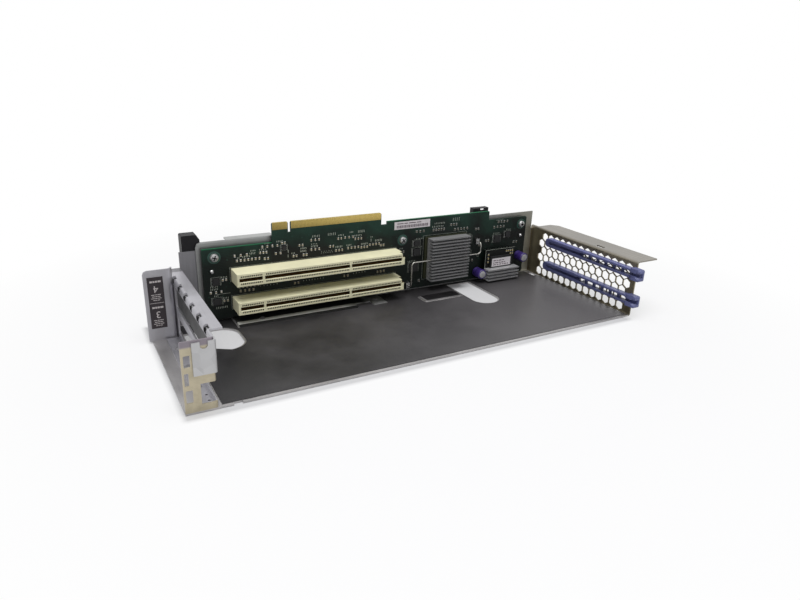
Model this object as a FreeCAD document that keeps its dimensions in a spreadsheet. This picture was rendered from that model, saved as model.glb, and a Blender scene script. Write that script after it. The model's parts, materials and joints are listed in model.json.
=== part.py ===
import FreeCAD, Part
import os
import re
import Sketcher

# Riser cage of a rack server: a sheet-metal pan that carries an upright circuit board
# with two card slots, an outside wall for the card brackets and a perforated end wall
# with two guides for the far ends of full-length cards.
# Row frame, millimetres: X runs along the slots from their outer ends, Y=0 is the face
# of the board and -Y is the side that the cards stand on, Z=0 is the underside of the pan.

# Sheet metal
gauge = 1.0
bend = 0.8
card_bay = 307.6
wall_x = -40.0
front = 112.9
recess = 16.0
wall_clear = 7.28
end_proud = 1.5
end_reach = 19.3
lip_reach = 8.2
lip_pitch = 17.0
lip_back = 10.9
wing_reach = 30.0
wing_drop = 1.6
foot_reach = 8.0
label_y = 14.7
label_proud = 7.0
label_reach = 18.0
label_bend = 2.4
rivet = 1.2
rivet_gap = 0.05
# Slots and the brackets that close them
slot_pitch = 20.32
low_slot = 13.7
bracket_drop = 3.0
bracket_wide = 18.4
bracket_gauge = 0.9
tab_long = 12.4
notch_wide = 4.0
window_high = 12.0
window_end = 17.0
window_reach = 7.4
arch_pitch = 6.8
# Board and its carrier
board_thick = 1.57
board_left = -18.6
board_margin = 9.7
board_low = 3.0
board_rise = 12.3
middle_step = 6.8
carrier_gap = 2.43
carrier_left = -21.4
carrier_proud = 4.0
carrier_inset = 2.0
carrier_foot = 113.0
foot_notch = 24.0
foot_notch_long = 13.0
foot_notch_deep = 6.5
locator_proud = 4.8
edge_start = 29.8
edge_long = 85.2
edge_key = 11.65
key_wide = 1.9
edge_step = 6.9
gold_high = 4.8
gold_pitch = 1.0
# Card slots
socket_long = 128.02
socket_wide = 8.9
socket_high = 15.2
socket_gap = 2.3
key_near = 18.29
key_far = 83.06
key_rib = 1.7
# End wall grille and the card guides
hex_flat = 6.4
hex_pitch = 7.1
hex_first = 9.7
hex_low = 5.2
guide_start = 19.0
guide_proud = 7.1
guide_high = 7.0
guide_thick = 4.6
groove = 2.4
guide_open = 60.0
guide_pitch = 8.4
# Film on the pan floor and the openings under it
film_thick = 0.35
film_edge = 2.0
hole_left_x = -3.0
hole_left_near = 46.8
hole_left_far = 12.0
hole_mid_x = 188.5
hole_mid_near = 49.2
hole_mid_wide = 22.0
bead_left = 141.5
bead_long = 33.0
bead_near = 27.0
bead_far = 15.5
bead_high = 0.7
# Parts on the board
sink_share = 0.579
sink_wide = 36.0
sink_low = 10.0
sink_high = 34.2
sink_deep = 8.0
fin_count = 14
fin_thick = 1.0
chip_deep = 2.2
wire = 1.1
module_back = 13.9
module_wide = 31.0
module_low = 4.0
module_top = 28.4
can_wide = 8.0
can_long = 10.0
clip_near = 0.4
clip_far = 0.64
clip_low = 7.0
clip_high = 36.4

WALL_END = "wall_x + gauge + card_bay"
# Places that follow from the sizes, so that a change of one size carries its neighbours
TIED = {
    "wall_top": "low_slot + slot_pitch + wall_clear",
    "end_top": "wall_top + end_proud",
    "label_top": "wall_top + label_proud",
    "board_top": "wall_top + board_rise",
    "wing_top": "board_top - wing_drop",
    "board_mid": "board_top + middle_step",
    "edge_top": "board_mid + edge_step",
    "carrier_top": "board_top + carrier_proud",
    "locator_top": "carrier_top + locator_proud",
    "lip_front": "front - lip_back",
    "guide_tip": "front + guide_proud",
    "carrier_right": f"{WALL_END} - carrier_inset",
    "board_right": "carrier_right - board_margin",
    "module_left": "board_right - module_back - module_wide",
    "sink_left": "socket_long + sink_share * (module_left - socket_long - sink_wide)",
    "sink_right": "sink_left + sink_wide",
    "clip_left": "socket_long + clip_near * (sink_left - socket_long)",
    "clip_right": "sink_right + clip_far * (module_left - sink_right)",
}
SIZES = {name: number for name, number in list(globals().items())
         if name.islower() and isinstance(number, (int, float))}

doc = FreeCAD.newDocument("riser_cage")
sheet = doc.addObject("Spreadsheet::Sheet", "Sizes")
for row, (name, number) in enumerate(SIZES.items(), 1):
    sheet.set(f"A{row}", name)
    sheet.set(f"B{row}", str(number))
    sheet.setAlias(f"B{row}", name)
doc.recompute()

WORD = re.compile(r"[a-z_]+")
END = f"({WALL_END})"
REAR = "(board_thick + carrier_gap)"
WING = f"({REAR} + gauge)"
PAN_REAR = f"({REAR} + 2 * gauge)"
HIGH_SLOT = "(low_slot + slot_pitch)"
# Rivets: places on the pan, on the upright sheets and on the slot wall
FOOT_RIVETS = [("wall_x - foot_reach / 2", y) for y in ("-34", "(24.9 - 34 - front) / 2", "24.9 - front")]
CARRIER_RIVETS = [(x, "-8") for x in ("18", "carrier_foot - 6")]
WING_RIVETS = [("-15", z) for z in ("20", "44")]
RETURN_RIVETS = [(f"{END} - 16", z) for z in ("12", "32")]
LABEL_RIVETS = [("-8.2", z) for z in ("8", "17.5")]
PLANES = {"XY": "XY_Plane", "XZ": "XZ_Plane", "YZ": "YZ_Plane"}


def bound(text):
    """Writes an expression in the sheet's cells, with tied places spelled out."""
    def spell(match):
        word = match.group()
        if word in TIED:
            return f"({bound(TIED[word])})"
        return f"Sizes.{word}" if word in SIZES else word
    return WORD.sub(spell, str(text))


def value(text):
    return float(sheet.evalExpression(bound(text)))


def bind(thing, path, text):
    thing.setExpression(path, bound(text))


def new_body(label):
    body = doc.addObject("PartDesign::Body", label)
    body.Label = label
    return body


def new_sketch(body, plane, at):
    """A sketch on one of the body's own planes, moved along its normal to a named place."""
    sketch = body.newObject("Sketcher::SketchObject", "Outline")
    role = PLANES[plane]
    sketch.AttachmentSupport = [(next(f for f in body.Origin.OriginFeatures if f.Role == role), "")]
    sketch.MapMode = "FlatFace"
    bind(sketch, "AttachmentOffset.Base.z", at)
    return sketch


def pin_down(sketch, geometry, end, x, y):
    for kind, text in (("DistanceX", x), ("DistanceY", y)):
        number = sketch.addConstraint(Sketcher.Constraint(kind, -1, 1, geometry, end, value(text)))
        bind(sketch, f"Constraints[{number}]", text)


def set_radius(sketch, geometry, radius):
    number = sketch.addConstraint(Sketcher.Constraint("Radius", geometry, value(radius)))
    bind(sketch, f"Constraints[{number}]", radius)


def unit(a, b):
    dx = value(b[0]) - value(a[0])
    dy = value(b[1]) - value(a[1])
    longest = max(abs(dx), abs(dy))
    return round(dx / longest), round(dy / longest)


def draw_loop(sketch, corners):
    """A closed outline. A corner with a third value, between two straight edges at
    right angles, is rounded to that radius."""
    stops = []
    count = len(corners)
    for i, corner in enumerate(corners):
        x, y = corner[0], corner[1]
        if len(corner) == 2:
            stops.append((x, y, None))
            continue
        ax, ay = unit(corners[i - 1], corner)
        bx, by = unit(corner, corners[(i + 1) % count])
        r = corner[2]
        turn = "left" if ax * by - ay * bx > 0 else "right"
        stops.append((f"{x} - ({r}) * ({ax})", f"{y} - ({r}) * ({ay})", (r, turn)))
        stops.append((f"{x} + ({r}) * ({bx})", f"{y} + ({r}) * ({by})", None))
    points = [FreeCAD.Vector(value(x), value(y), 0) for x, y, arc in stops]
    ends = []
    for i, (x, y, arc) in enumerate(stops):
        a = points[i]
        b = points[(i + 1) % len(points)]
        if arc is None:
            g = sketch.addGeometry(Part.LineSegment(a, b), False)
            ends.append((g, 1, 2))
            continue
        radius, turn = arc
        chord = b - a
        side = 1 if turn == "left" else -1
        centre = a + chord * 0.5 + FreeCAD.Vector(-chord.y, chord.x, 0) * (0.5 * side)
        circle = Part.Circle(centre, FreeCAD.Vector(0, 0, 1), value(radius))
        first, last = (a, b) if turn == "left" else (b, a)
        arc_edge = Part.ArcOfCircle(circle, circle.parameter(first), circle.parameter(last))
        g = sketch.addGeometry(arc_edge, False)
        set_radius(sketch, g, radius)
        ends.append((g, 1, 2) if turn == "left" else (g, 2, 1))
    for i, (g, start, end) in enumerate(ends):
        after = ends[(i + 1) % len(ends)]
        sketch.addConstraint(Sketcher.Constraint("Coincident", g, end, after[0], after[1]))
        pin_down(sketch, g, start, stops[i][0], stops[i][1])


def draw_circle(sketch, x, y, radius):
    centre = FreeCAD.Vector(value(x), value(y), 0)
    g = sketch.addGeometry(Part.Circle(centre, FreeCAD.Vector(0, 0, 1), value(radius)), False)
    set_radius(sketch, g, radius)
    pin_down(sketch, g, 3, x, y)


def rectangle(x0, x1, y0, y1, r=None):
    corners = [(x0, y0), (x1, y0), (x1, y1), (x0, y1)]
    return [c + (r,) for c in corners] if r else corners


def folded(path, thick="gauge", inner="bend"):
    """The section of a bent sheet. The path is one face and the metal lies to its left."""
    steps = [unit(path[i], path[i + 1]) for i in range(len(path) - 1)]
    near = []
    far = []
    for i, (x, y) in enumerate(path):
        before = steps[i - 1] if i > 0 else None
        after = steps[i] if i < len(steps) else None
        nx = sum(-s[1] for s in (before, after) if s)
        ny = sum(s[0] for s in (before, after) if s)
        other = (f"{x} + ({nx}) * {thick}", f"{y} + ({ny}) * {thick}")
        if before and after:
            left = before[0] * after[1] - before[1] * after[0] > 0
            outer = f"({inner} + {thick})"
            near.append((x, y, outer if left else inner))
            far.append(other + (inner if left else outer,))
        else:
            near.append((x, y))
            far.append(other)
    return near + far[::-1]


def extrude(kind, body, plane, loops, low, high, circles=()):
    """Pads or pockets outlines between two places on the axis across the plane."""
    at = f"-({high})" if plane == "XZ" else low
    sketch = new_sketch(body, plane, at)
    for corners in loops:
        draw_loop(sketch, corners)
    for circle in circles:
        draw_circle(sketch, *circle)
    doc.recompute()
    feature = body.newObject(f"PartDesign::{kind}", kind)
    feature.Profile = sketch
    if kind == "Pocket":
        feature.Reversed = True
    feature.Type = 0
    bind(feature, "Length", f"({high}) - ({low})")
    before = body.Shape.Volume if not body.Shape.isNull() else 0.0
    doc.recompute()
    if (feature.Shape.Volume - before) * (1 if kind == "Pad" else -1) <= 0:
        raise RuntimeError(f"{body.Label}: a {kind} changed nothing")
    return feature


def pad(body, plane, loops, low, high, circles=()):
    return extrude("Pad", body, plane, loops, low, high, circles)


def pocket(body, plane, loops, low, high, circles=()):
    return extrude("Pocket", body, plane, loops, low, high, circles)


def along(body, feature, axis, pitch, count):
    """Repeats a feature along one of the body's own axes."""
    pattern = body.newObject("PartDesign::LinearPattern", "Row")
    pattern.Originals = [feature]
    line = next(f for f in body.Origin.OriginFeatures if f.Role == axis)
    pattern.Direction = (line, [""])
    bind(pattern, "Length", f"({pitch}) * ({count} - 1)")
    bind(pattern, "Occurrences", count)
    body.Tip = pattern
    return pattern


def box(label, x, y, z):
    """A block between pairs of named places."""
    block = doc.addObject("Part::Box", label)
    for side, path, pair in (("Length", "x", x), ("Width", "y", y), ("Height", "z", z)):
        bind(block, side, f"({pair[1]}) - ({pair[0]})")
        bind(block, f"Placement.Base.{path}", pair[0])
    return block


def solid_group(label, shapes):
    """Like pieces that share one node, each a solid of its own."""
    group = doc.addObject("Part::Feature", label)
    group.Shape = Part.makeCompound(shapes)
    return group


def block_shape(x, y, z, wide, deep, high):
    return Part.makeBox(wide, deep, high, FreeCAD.Vector(x, y, z))


def rivet_holes(places):
    return [(a, b, "rivet + rivet_gap") for a, b in places]


def floor_openings(margin):
    """Outlines of the two openings in the floor, let out by a margin for the film."""
    radius = f"(hole_mid_wide / 2 + {margin})"
    left = [("hole_left_x - 34", f"13.5 - hole_left_near - {margin}")]
    left += [(f"hole_left_x + {margin} - 12.2", f"-hole_left_near - {margin}")]
    left += [(f"hole_left_x + {margin}", f"-hole_left_near - {margin}", "12")]
    left += [(f"hole_left_x + {margin}", f"{margin} - hole_left_far", "12")]
    left += [("hole_left_x - 34", f"{margin} - hole_left_far")]
    middle = rectangle(f"hole_mid_x - {radius}", f"hole_mid_x + {radius}", f"-hole_mid_near - {margin}",
                       "-1")
    middle[0] += (f"{radius} - 0.1",)
    middle[1] += (f"{radius} - 0.1",)
    return [left, middle]


def make_pan():
    """Floor, perforated end wall with its outward flange, and a rear return flange."""
    pan = new_body("base_pan")
    wall = f"({END} + gauge)"
    path = [("wall_x - recess", "0"), (wall, "0"), (wall, "end_top - gauge")]
    path.append((f"{wall} + end_reach", "end_top - gauge"))
    pad(pan, "XZ", [folded(path)], "-front", PAN_REAR)
    back = rectangle(f"{END} - 20", f"{END} + gauge / 2", f"{REAR} + gauge", PAN_REAR)
    pad(pan, "XY", [back], "gauge / 2", "end_top - 3")
    corner = rectangle("wall_x - recess - 1", "wall_x - gauge", "gauge - label_y", f"{PAN_REAR} + 1")
    pocket(pan, "XY", [corner], "-1", "gauge + 1")
    flange = [(f"{wall} + bend", f"{PAN_REAR} + 1"), (f"{wall} + bend", "-1.5")]
    flange += [(f"{wall} + end_reach - 5", "-1.5"), (f"{wall} + end_reach + 1", "-8")]
    flange += [(f"{wall} + end_reach + 1", f"{PAN_REAR} + 1")]
    pocket(pan, "XY", [flange], "end_top - gauge - 1", "end_top + 1")
    slit = rectangle(f"{wall} + 1.9", f"{wall} + 5.2", "-75", "-67")
    pocket(pan, "XY", [slit], "end_top - gauge - 1", "end_top + 1")
    nick = rectangle("-31", "-26", "-front - 1", "1.8 - front")
    relief = rectangle(f"{END} - 5.5", f"{END} - 1.9", "-10", "-3", "1.2")
    pocket(pan, "XY", [nick, relief], "-1", "gauge + 1")
    pocket(pan, "XY", floor_openings("0"), "-1", "gauge + 1")
    bead = rectangle("bead_left", "bead_left + bead_long", "-bead_near", "-bead_far", "2.5")
    pad(pan, "XY", [bead], "gauge / 2", "gauge + bead_high")
    pocket(pan, "XY", [], "-1", "gauge + 1", rivet_holes(FOOT_RIVETS + CARRIER_RIVETS))
    pocket(pan, "XZ", [], f"{REAR} + gauge / 2", f"{PAN_REAR} + 1", rivet_holes(RETURN_RIVETS))
    for row in (0, 1):
        y0, z0 = hexagon_centre(0, row)
        half = "hex_flat / 2"
        tall = "0.57735 * hex_flat"
        ring = [(f"{y0} + {half}", f"{z0} - {tall} / 2"), (f"{y0} + {half}", f"{z0} + {tall} / 2")]
        ring += [(y0, f"{z0} + {tall}"), (f"{y0} - {half}", f"{z0} + {tall} / 2")]
        ring += [(f"{y0} - {half}", f"{z0} - {tall} / 2"), (y0, f"{z0} - {tall}")]
        hexagon = pocket(pan, "YZ", [ring], f"{END} - 1", f"{wall} + 1")
        columns = "floor((front - hex_first - hex_pitch / 2 - hex_flat / 2) / hex_pitch) + 1"
        multi_row(pan, hexagon, columns, "floor((end_top - hex_low - hex_pitch) / (1.73205 * hex_pitch)) + 1")
    return pan


def hexagon_centre(column, row):
    """Where a hexagon of the grille lies on the end wall: every second row is set in by half a pitch."""
    shift = column + (row % 2) / 2
    return f"(-hex_first - {shift} * hex_pitch)", f"(hex_low + {row} * 0.866025 * hex_pitch)"


def multi_row(body, feature, columns, rows):
    """Repeats one hexagon along the wall and up it."""
    grid = body.newObject("PartDesign::MultiTransform", "Grille")
    grid.Originals = [feature]
    steps = []
    for axis, pitch, count, back in (("Y_Axis", "hex_pitch", columns, True),
                                     ("Z_Axis", "1.73205 * hex_pitch", rows, False)):
        step = body.newObject("PartDesign::LinearPattern", "Step")
        line = next(f for f in body.Origin.OriginFeatures if f.Role == axis)
        step.Direction = (line, [""])
        step.Reversed = back
        bind(step, "Length", f"({pitch}) * ({count} - 1)")
        bind(step, "Occurrences", count)
        steps.append(step)
    grid.Transformations = steps
    body.Tip = grid
    doc.recompute()
    return grid


def make_film():
    """Black insulating film on the pan floor, cut back round the openings."""
    film = new_body("insulator_film")
    left = "(wall_x + 3.2)"
    outline = [(left, "film_edge - front"), (f"{END} - 2.4", "film_edge - front")]
    outline += [(f"{END} - 2.4", "-11"), (f"{END} - 6.5", "-11"), (f"{END} - 6.5", "2")]
    outline += [("carrier_foot + 1", "2"), ("carrier_foot + 1", "-16.6")]
    for x, ends in (("foot_notch_long - 0.6", ("-16.6", "foot_notch_deep - 16.6")),
                    ("0.6", ("foot_notch_deep - 16.6", "-16.6"))):
        outline += [(f"carrier_foot - foot_notch + {x}", y) for y in ends]
    outline.append(("-1.5", "-16.6"))
    outline += [("-1.5", "2"), (left, "2")]
    pad(film, "XY", [outline], "gauge", "gauge + film_thick")
    window = rectangle("bead_left - 1.5", "hole_mid_x", "-bead_near - 1.2", "1.2 - bead_far", "3")
    openings = floor_openings("0.9")
    pocket(film, "XY", openings, "0", "gauge + film_thick + 1")
    pocket(film, "XY", [window], "0", "gauge + film_thick + 1")
    return film


def make_slot_bracket():
    """Slot wall with its tab shelf, foot, inward lip and rear wing, folded from one sheet."""
    wall = new_body("slot_bracket")
    inner = "(wall_x + gauge)"
    path = [("wall_x - recess", "-front"), (inner, "-front"), (inner, WING)]
    path.append((f"{inner} + wing_reach", WING))
    pad(wall, "XY", [folded(path)], "gauge", "wing_top")
    over = rectangle("-front - 1", WING, "wall_top", "wing_top + 1")
    pocket(wall, "YZ", [over], "wall_x - recess - 1", f"{inner} + wing_reach + 1")
    notch = rectangle("wall_x - 1", "wall_x + 8", "wall_top", "wing_top + 1")
    pocket(wall, "XZ", [notch], f"{WING} - 1", f"{WING} + gauge + 1")
    crest = rectangle("-lip_front", WING, "wall_top - 3", "wall_top + 1")
    pocket(wall, "YZ", [crest], "wall_x - 1", f"{inner} + 1")
    lip = [(f"{inner} + lip_reach - gauge", "wall_top"), ("wall_x", "wall_top"), ("wall_x", "wall_top - 3.5")]
    pad(wall, "XZ", [folded(lip)], "-lip_front", WING)
    foot = rectangle("wall_x - foot_reach", "wall_x + gauge / 2", "gauge - front", "-label_y - 1.5")
    pad(wall, "XY", [foot], "gauge", "2 * gauge")
    windows = []
    for centre, below, above in (("(low_slot - bracket_drop)", "window_high / 2", "window_high / 2"),
                                 (f"({HIGH_SLOT} - bracket_drop)", "bracket_wide / 2 + 0.9", "window_high / 2")):
        windows.append(rectangle("-front - 2", "-window_end", f"{centre} - {below}", f"{centre} + {above}"))
    pocket(wall, "YZ", windows[:1], "wall_x - window_reach", f"{inner} + 0.8")
    pocket(wall, "YZ", windows[1:], "wall_x - 1", f"{inner} + 0.8")
    cuts = [rectangle("wall_x - recess + 0.9", "wall_x - recess + 3.2", "16.4", "23.8", "0.5")]
    cuts.append(rectangle("wall_x - recess + 1.2", "wall_x - recess + 4.6", "26.8", "33.6", "0.5"))
    cuts.append(rectangle("wall_x - recess + 1.0", "wall_x - recess + 4.6", "6.6", "14", "0.5"))
    pocket(wall, "XZ", cuts, "-front - 1", "gauge - front + 1")
    first = rectangle("wall_x - 1", f"{inner} + 1.2", "1.2 - lip_front", "7.6 - lip_front")
    slots = pocket(wall, "XY", [first], "wall_top - 4", "wall_top + 1")
    along(wall, slots, "Y_Axis", "lip_pitch", "floor(lip_front / lip_pitch + 0.2)")
    ribs = [rectangle("-2.6", "-0.8", "19", "33"), rectangle("-2.6", "-0.8", "3", "16")]
    pad(wall, "YZ", ribs, "wall_x - 1.2", "wall_x + gauge / 2")
    pilots = [("wall_x - 2.2", y, "0.8") for y in ("7.4 - front", "14.2 - front")]
    pocket(wall, "XY", [], "0", "2 * gauge + 1", pilots + rivet_holes(FOOT_RIVETS))
    pocket(wall, "XZ", [], f"{WING} - 1", f"{WING} + gauge + 1", rivet_holes(WING_RIVETS))
    pocket(wall, "YZ", [], "wall_x - 1", f"{inner} + 1", rivet_holes(LABEL_RIVETS))
    return wall


def make_label_plate():
    """Plate beside the slots for the slot numbers, with a flange on the slot wall."""
    plate = new_body("label_plate")
    path = [("wall_x - label_reach", "-label_y"), ("wall_x", "-label_y"), ("wall_x", "-3")]
    pad(plate, "XY", [folded(path, inner="label_bend")], "gauge", "label_top")
    high = rectangle("gauge + label_bend - label_y", "0", "wall_top - 4", "label_top + 1")
    pocket(plate, "YZ", [high], "wall_x - gauge - 1", "wall_x + 1")
    pocket(plate, "YZ", [], "wall_x - gauge - 1", "wall_x + 1", rivet_holes(LABEL_RIVETS))
    side = "(wall_x - label_reach)"
    corner = [(side, "label_top - 2.6"), (f"{side} + 0.75", "label_top - 0.75"), (f"{side} + 2.6", "label_top")]
    corner += [(f"{side} - 1", "label_top + 1")]
    pocket(plate, "XZ", [corner], "-label_y - 1", "gauge - label_y + 1")
    return plate


def make_label():
    left = "wall_x - label_reach + 2.2"
    return box("slot_label", (left, f"{left} + 9.5"), ("-label_y - 0.2", "-label_y"),
               ("9.6", "label_top - 4.4"))


def make_filler():
    """Blank bracket in the upper slot: strip, tab with its screw notch, and tongue."""
    filler = new_body("filler_bracket")
    seat = "(wall_x + gauge + bracket_gauge)"
    middle = f"({HIGH_SLOT} - bracket_drop)"
    half = "bracket_wide / 2"
    path = [(f"{seat} - tab_long", "-front - bracket_gauge"), (seat, "-front - bracket_gauge"), (seat, "1.9")]
    pad(filler, "XY", [folded(path, "bracket_gauge")], f"{middle} - {half}", f"{middle} + {half}")
    for side in ("1", "-1"):
        step = [("-12", f"{middle} + {side} * ({half} + 1)"), ("-12", f"{middle} + {side} * {half}")]
        step += [("-7", f"{middle} + {side} * 5.1"), ("3", f"{middle} + {side} * 5.1")]
        step += [("3", f"{middle} + {side} * ({half} + 1)")]
        pocket(filler, "YZ", [step], "wall_x", f"{seat} + 1")
    under_lip = rectangle("-lip_front - 0.5", "3", "wall_top - gauge - bend - 0.1", "wall_top + 1")
    low_edge = rectangle("3 - lip_front", "3", f"{middle} - {half} - 1", f"{middle} - {half} + 2")
    pocket(filler, "YZ", [under_lip, low_edge], "wall_x", f"{seat} + 1")
    centre = f"({seat} - 6.2)"
    u_cut = rectangle(f"{centre} - notch_wide / 2", f"{centre} + notch_wide / 2",
                      f"{middle} + {half} - 3.9", f"{middle} + {half} + 4", "notch_wide / 2 - 0.1")
    u_cut[2] = u_cut[2][:2]
    u_cut[3] = u_cut[3][:2]
    pocket(filler, "XZ", [u_cut], "-front - 2", "-front + 0.001")
    return filler


def make_gaskets():
    """Sprung contact strips on the inside of the slot wall, beside the lower window."""
    inner = "(wall_x + gauge)"
    strips = []
    for label, low, high in (("upper", "window_high / 2 + 0.4", "window_high / 2 + 4.4"),
                             ("lower", "-window_high / 2 - 2.9", "-window_high / 2 - 0.4")):
        strip = new_body(f"contact_strip_{label}")
        z = "(low_slot - bracket_drop)"
        band = rectangle(inner, f"{inner} + 0.3", "-front + 4", "-window_end + 3")
        pad(strip, "XY", [band], f"{z} + {low}", f"{z} + {high}")
        arch = [(f"{inner} + 0.2", "-front + 6"), (f"{inner} + 0.9", "-front + 7.5")]
        arch += [(f"{inner} + 0.9", "-front + 9"), (f"{inner} + 0.2", "-front + 10.5")]
        finger = pad(strip, "XY", [arch], f"{z} + {low} + 0.4", f"{z} + {high} - 0.4")
        along(strip, finger, "Y_Axis", "arch_pitch", "floor((front - 24) / arch_pitch)")
        strips.append(strip)
    return strips


def make_carrier():
    """Upright plate behind the board, riveted to the pan by a foot that shows in front."""
    plate = new_body("board_carrier")
    back = f"({REAR} + gauge)"
    path = [("-16", "gauge"), (back, "gauge"), (back, "carrier_top")]
    pad(plate, "YZ", [folded(path)], "carrier_left", "carrier_right")
    round_off = [("carrier_left", "carrier_top - 3.5"), ("carrier_left + 1.0", "carrier_top - 1.0")]
    round_off += [("carrier_left + 3.5", "carrier_top"), ("carrier_left - 1", "carrier_top + 1")]
    pocket(plate, "XZ", [round_off], f"{REAR} - 1", f"{back} + 1")
    step = rectangle("edge_start + 2.2", "carrier_right + 1", "carrier_top - 2", "carrier_top + 1")
    pocket(plate, "XZ", [step], f"{REAR} - 1", f"{back} + 1")
    for low, high in (("carrier_left - 1", "0"), ("carrier_foot", "carrier_right + 1")):
        cut = rectangle(low, high, "-17", f"{REAR} - 0.8")
        pocket(plate, "XY", [cut], "0", "2 * gauge + 2")
    notch = "carrier_foot - foot_notch"
    relief = rectangle(notch, f"{notch} + foot_notch_long", "-17", "foot_notch_deep - 16", "1.5")
    relief[:2] = [corner[:2] for corner in relief[:2]]
    pocket(plate, "XY", [relief], "0", "2 * gauge + 1")
    flange = [(REAR, "carrier_top - 4"), (REAR, "carrier_top"), (f"{back} + 7", "carrier_top")]
    flange = flange[::-1]
    pad(plate, "YZ", [folded(flange)], "-0.6", "edge_start + 2.2")
    pocket(plate, "XY", [], "0", "2 * gauge + 1", rivet_holes(CARRIER_RIVETS))
    pocket(plate, "XZ", [], f"{REAR} - 1", f"{back} + 1", rivet_holes(WING_RIVETS + RETURN_RIVETS))
    return plate


def make_board():
    """Riser board: slot side up to the edge fingers that plug into the system board."""
    board = new_body("riser_board")
    finish = "(edge_start + edge_long)"
    outline = [("board_left", "board_low", "1.5"), ("board_right", "board_low", "1.5")]
    shoulder = "(module_left + 4.4)"
    outline += [("board_right", "board_top - 0.8", "1.5"), (shoulder, "board_top - 0.8"), (shoulder, "board_mid", "1")]
    outline += [(f"{finish} + 5", "board_mid"), (f"{finish} + 5", "board_mid - 2.4"), (finish, "board_mid - 2.4")]
    outline += [(finish, "edge_top - 1"), (f"{finish} - 1", "edge_top")]
    outline += [("edge_start + edge_key + key_wide + 0.6", "edge_top")]
    outline += [("edge_start + edge_key + key_wide", "edge_top - 0.8")]
    outline += [("edge_start + edge_key + key_wide", "edge_top - 7.6")]
    outline += [("edge_start + edge_key", "edge_top - 7.6"), ("edge_start + edge_key", "edge_top - 0.8")]
    outline += [("edge_start + edge_key - 0.6", "edge_top"), ("edge_start + 1", "edge_top")]
    outline += [("edge_start", "edge_top - 1"), ("edge_start", "board_top"), ("board_left", "board_top", "1")]
    pad(board, "XZ", [outline], "0", "board_thick")
    holes = [(x, z, "1.8") for x, z in SCREWS]
    pocket(board, "XZ", [], "-1", "board_thick + 1", holes)
    return board


SCREWS = (("board_left + 8", "board_top - 6.2"), ("socket_long + 5.98", "board_top - 9.3"),
          ("board_right - 5.7", "board_top - 7.2"))
PINS = (("board_left + 5.8", "board_top - 15.7"), ("board_right - 5.7", "board_top - 17"))


def make_fingers():
    """Gold contact pads on both faces of the board's plug-in edge."""
    pads = []
    wide = 0.7
    deep = 0.05
    pitch = value("gold_pitch")
    top = value("edge_top") - 0.3
    low = top - value("gold_high")
    start = value("edge_start")
    spans = ((start, value("edge_key")), (start + value("edge_key + key_wide"),
             value("edge_long - edge_key - key_wide")))
    for left, long in spans:
        count = int((long - 0.6) / pitch)
        margin = (long - pitch * (count - 1) - wide) / 2
        for i in range(count):
            x = left + margin + i * pitch
            for y in (-deep, value("board_thick")):
                pads.append(block_shape(x, y, low, wide, deep, top - low))
    return solid_group("edge_contacts", pads)


def make_socket(label, centre):
    """64-bit card slot: moulded housing with two key ribs across the card gap."""
    socket = new_body(label)
    half = "socket_wide / 2"
    pad(socket, "XZ", [rectangle("0", "socket_long", f"{centre} - {half}", f"{centre} + {half}")],
        "-socket_high", "0")
    gaps = []
    lead = []
    stops = (("1.6", "key_near - key_rib / 2"), ("key_near + key_rib / 2", "key_far - key_rib / 2"),
             ("key_far + key_rib / 2", "socket_long - 2.6"))
    for low, high in stops:
        gaps.append(rectangle(low, high, f"{centre} - socket_gap / 2", f"{centre} + socket_gap / 2"))
        lead.append(rectangle(f"{low} - 0.3", f"{high} + 0.3", f"{centre} - socket_gap / 2 - 0.5",
                              f"{centre} + socket_gap / 2 + 0.5"))
    pocket(socket, "XZ", gaps, "-socket_high - 1", "-socket_high + 8.4")
    pocket(socket, "XZ", lead, "-socket_high - 1", "-socket_high + 0.6")
    channels = []
    for low, high in stops:
        for side in (-1, 1):
            near = f"{centre} + {side} * (socket_gap / 2 + 0.6)"
            far = f"{centre} + {side} * (socket_gap / 2 + 1.6)"
            channels.append(rectangle(f"{low} + 0.6", f"{high} - 0.6", *((near, far) if side > 0 else (far, near))))
    pocket(socket, "XZ", channels, "-socket_high - 1", "-socket_high + 1.2")
    ends = [rectangle("socket_long - 2.2", "socket_long + 1", f"{centre} + 1.6", f"{centre} + {half} + 1")]
    pocket(socket, "XZ", ends, "-socket_high - 1", "-socket_high + 5")
    return socket


def make_heat_sink():
    """Finned aluminium block on the bridge chip, with a gap across it for the wire clip."""
    sink = new_body("heat_sink")
    face = "(-chip_deep)"
    front = f"({face} - sink_deep)"
    right = "sink_right"
    pad(sink, "XZ", [rectangle("sink_left", right, "sink_low", "sink_low + sink_high")],
        f"{face} - 2.4", face)
    fin = rectangle("sink_left", right, "sink_low", "sink_low + fin_thick")
    first = pad(sink, "XZ", [fin], front, f"{face} - 2.3")
    along(sink, first, "Z_Axis", "(sink_high - fin_thick) / (fin_count - 1)", "fin_count")
    return sink


def make_chip():
    """Bridge chip: green-yellow substrate, wider than the sink's foot, with its lid."""
    chip = new_body("bridge_chip")
    pad(chip, "XZ", [rectangle("sink_left - 1.6", "sink_right + 1.6", "sink_low + 0.5",
                               "sink_low + sink_high + 0.4")], "-1.3", "0")
    pad(chip, "XZ", [rectangle("sink_left + 2", "sink_right - 2", "sink_low + 3",
                               "sink_low + sink_high - 3")], "-chip_deep", "-1.2")
    return chip


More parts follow.
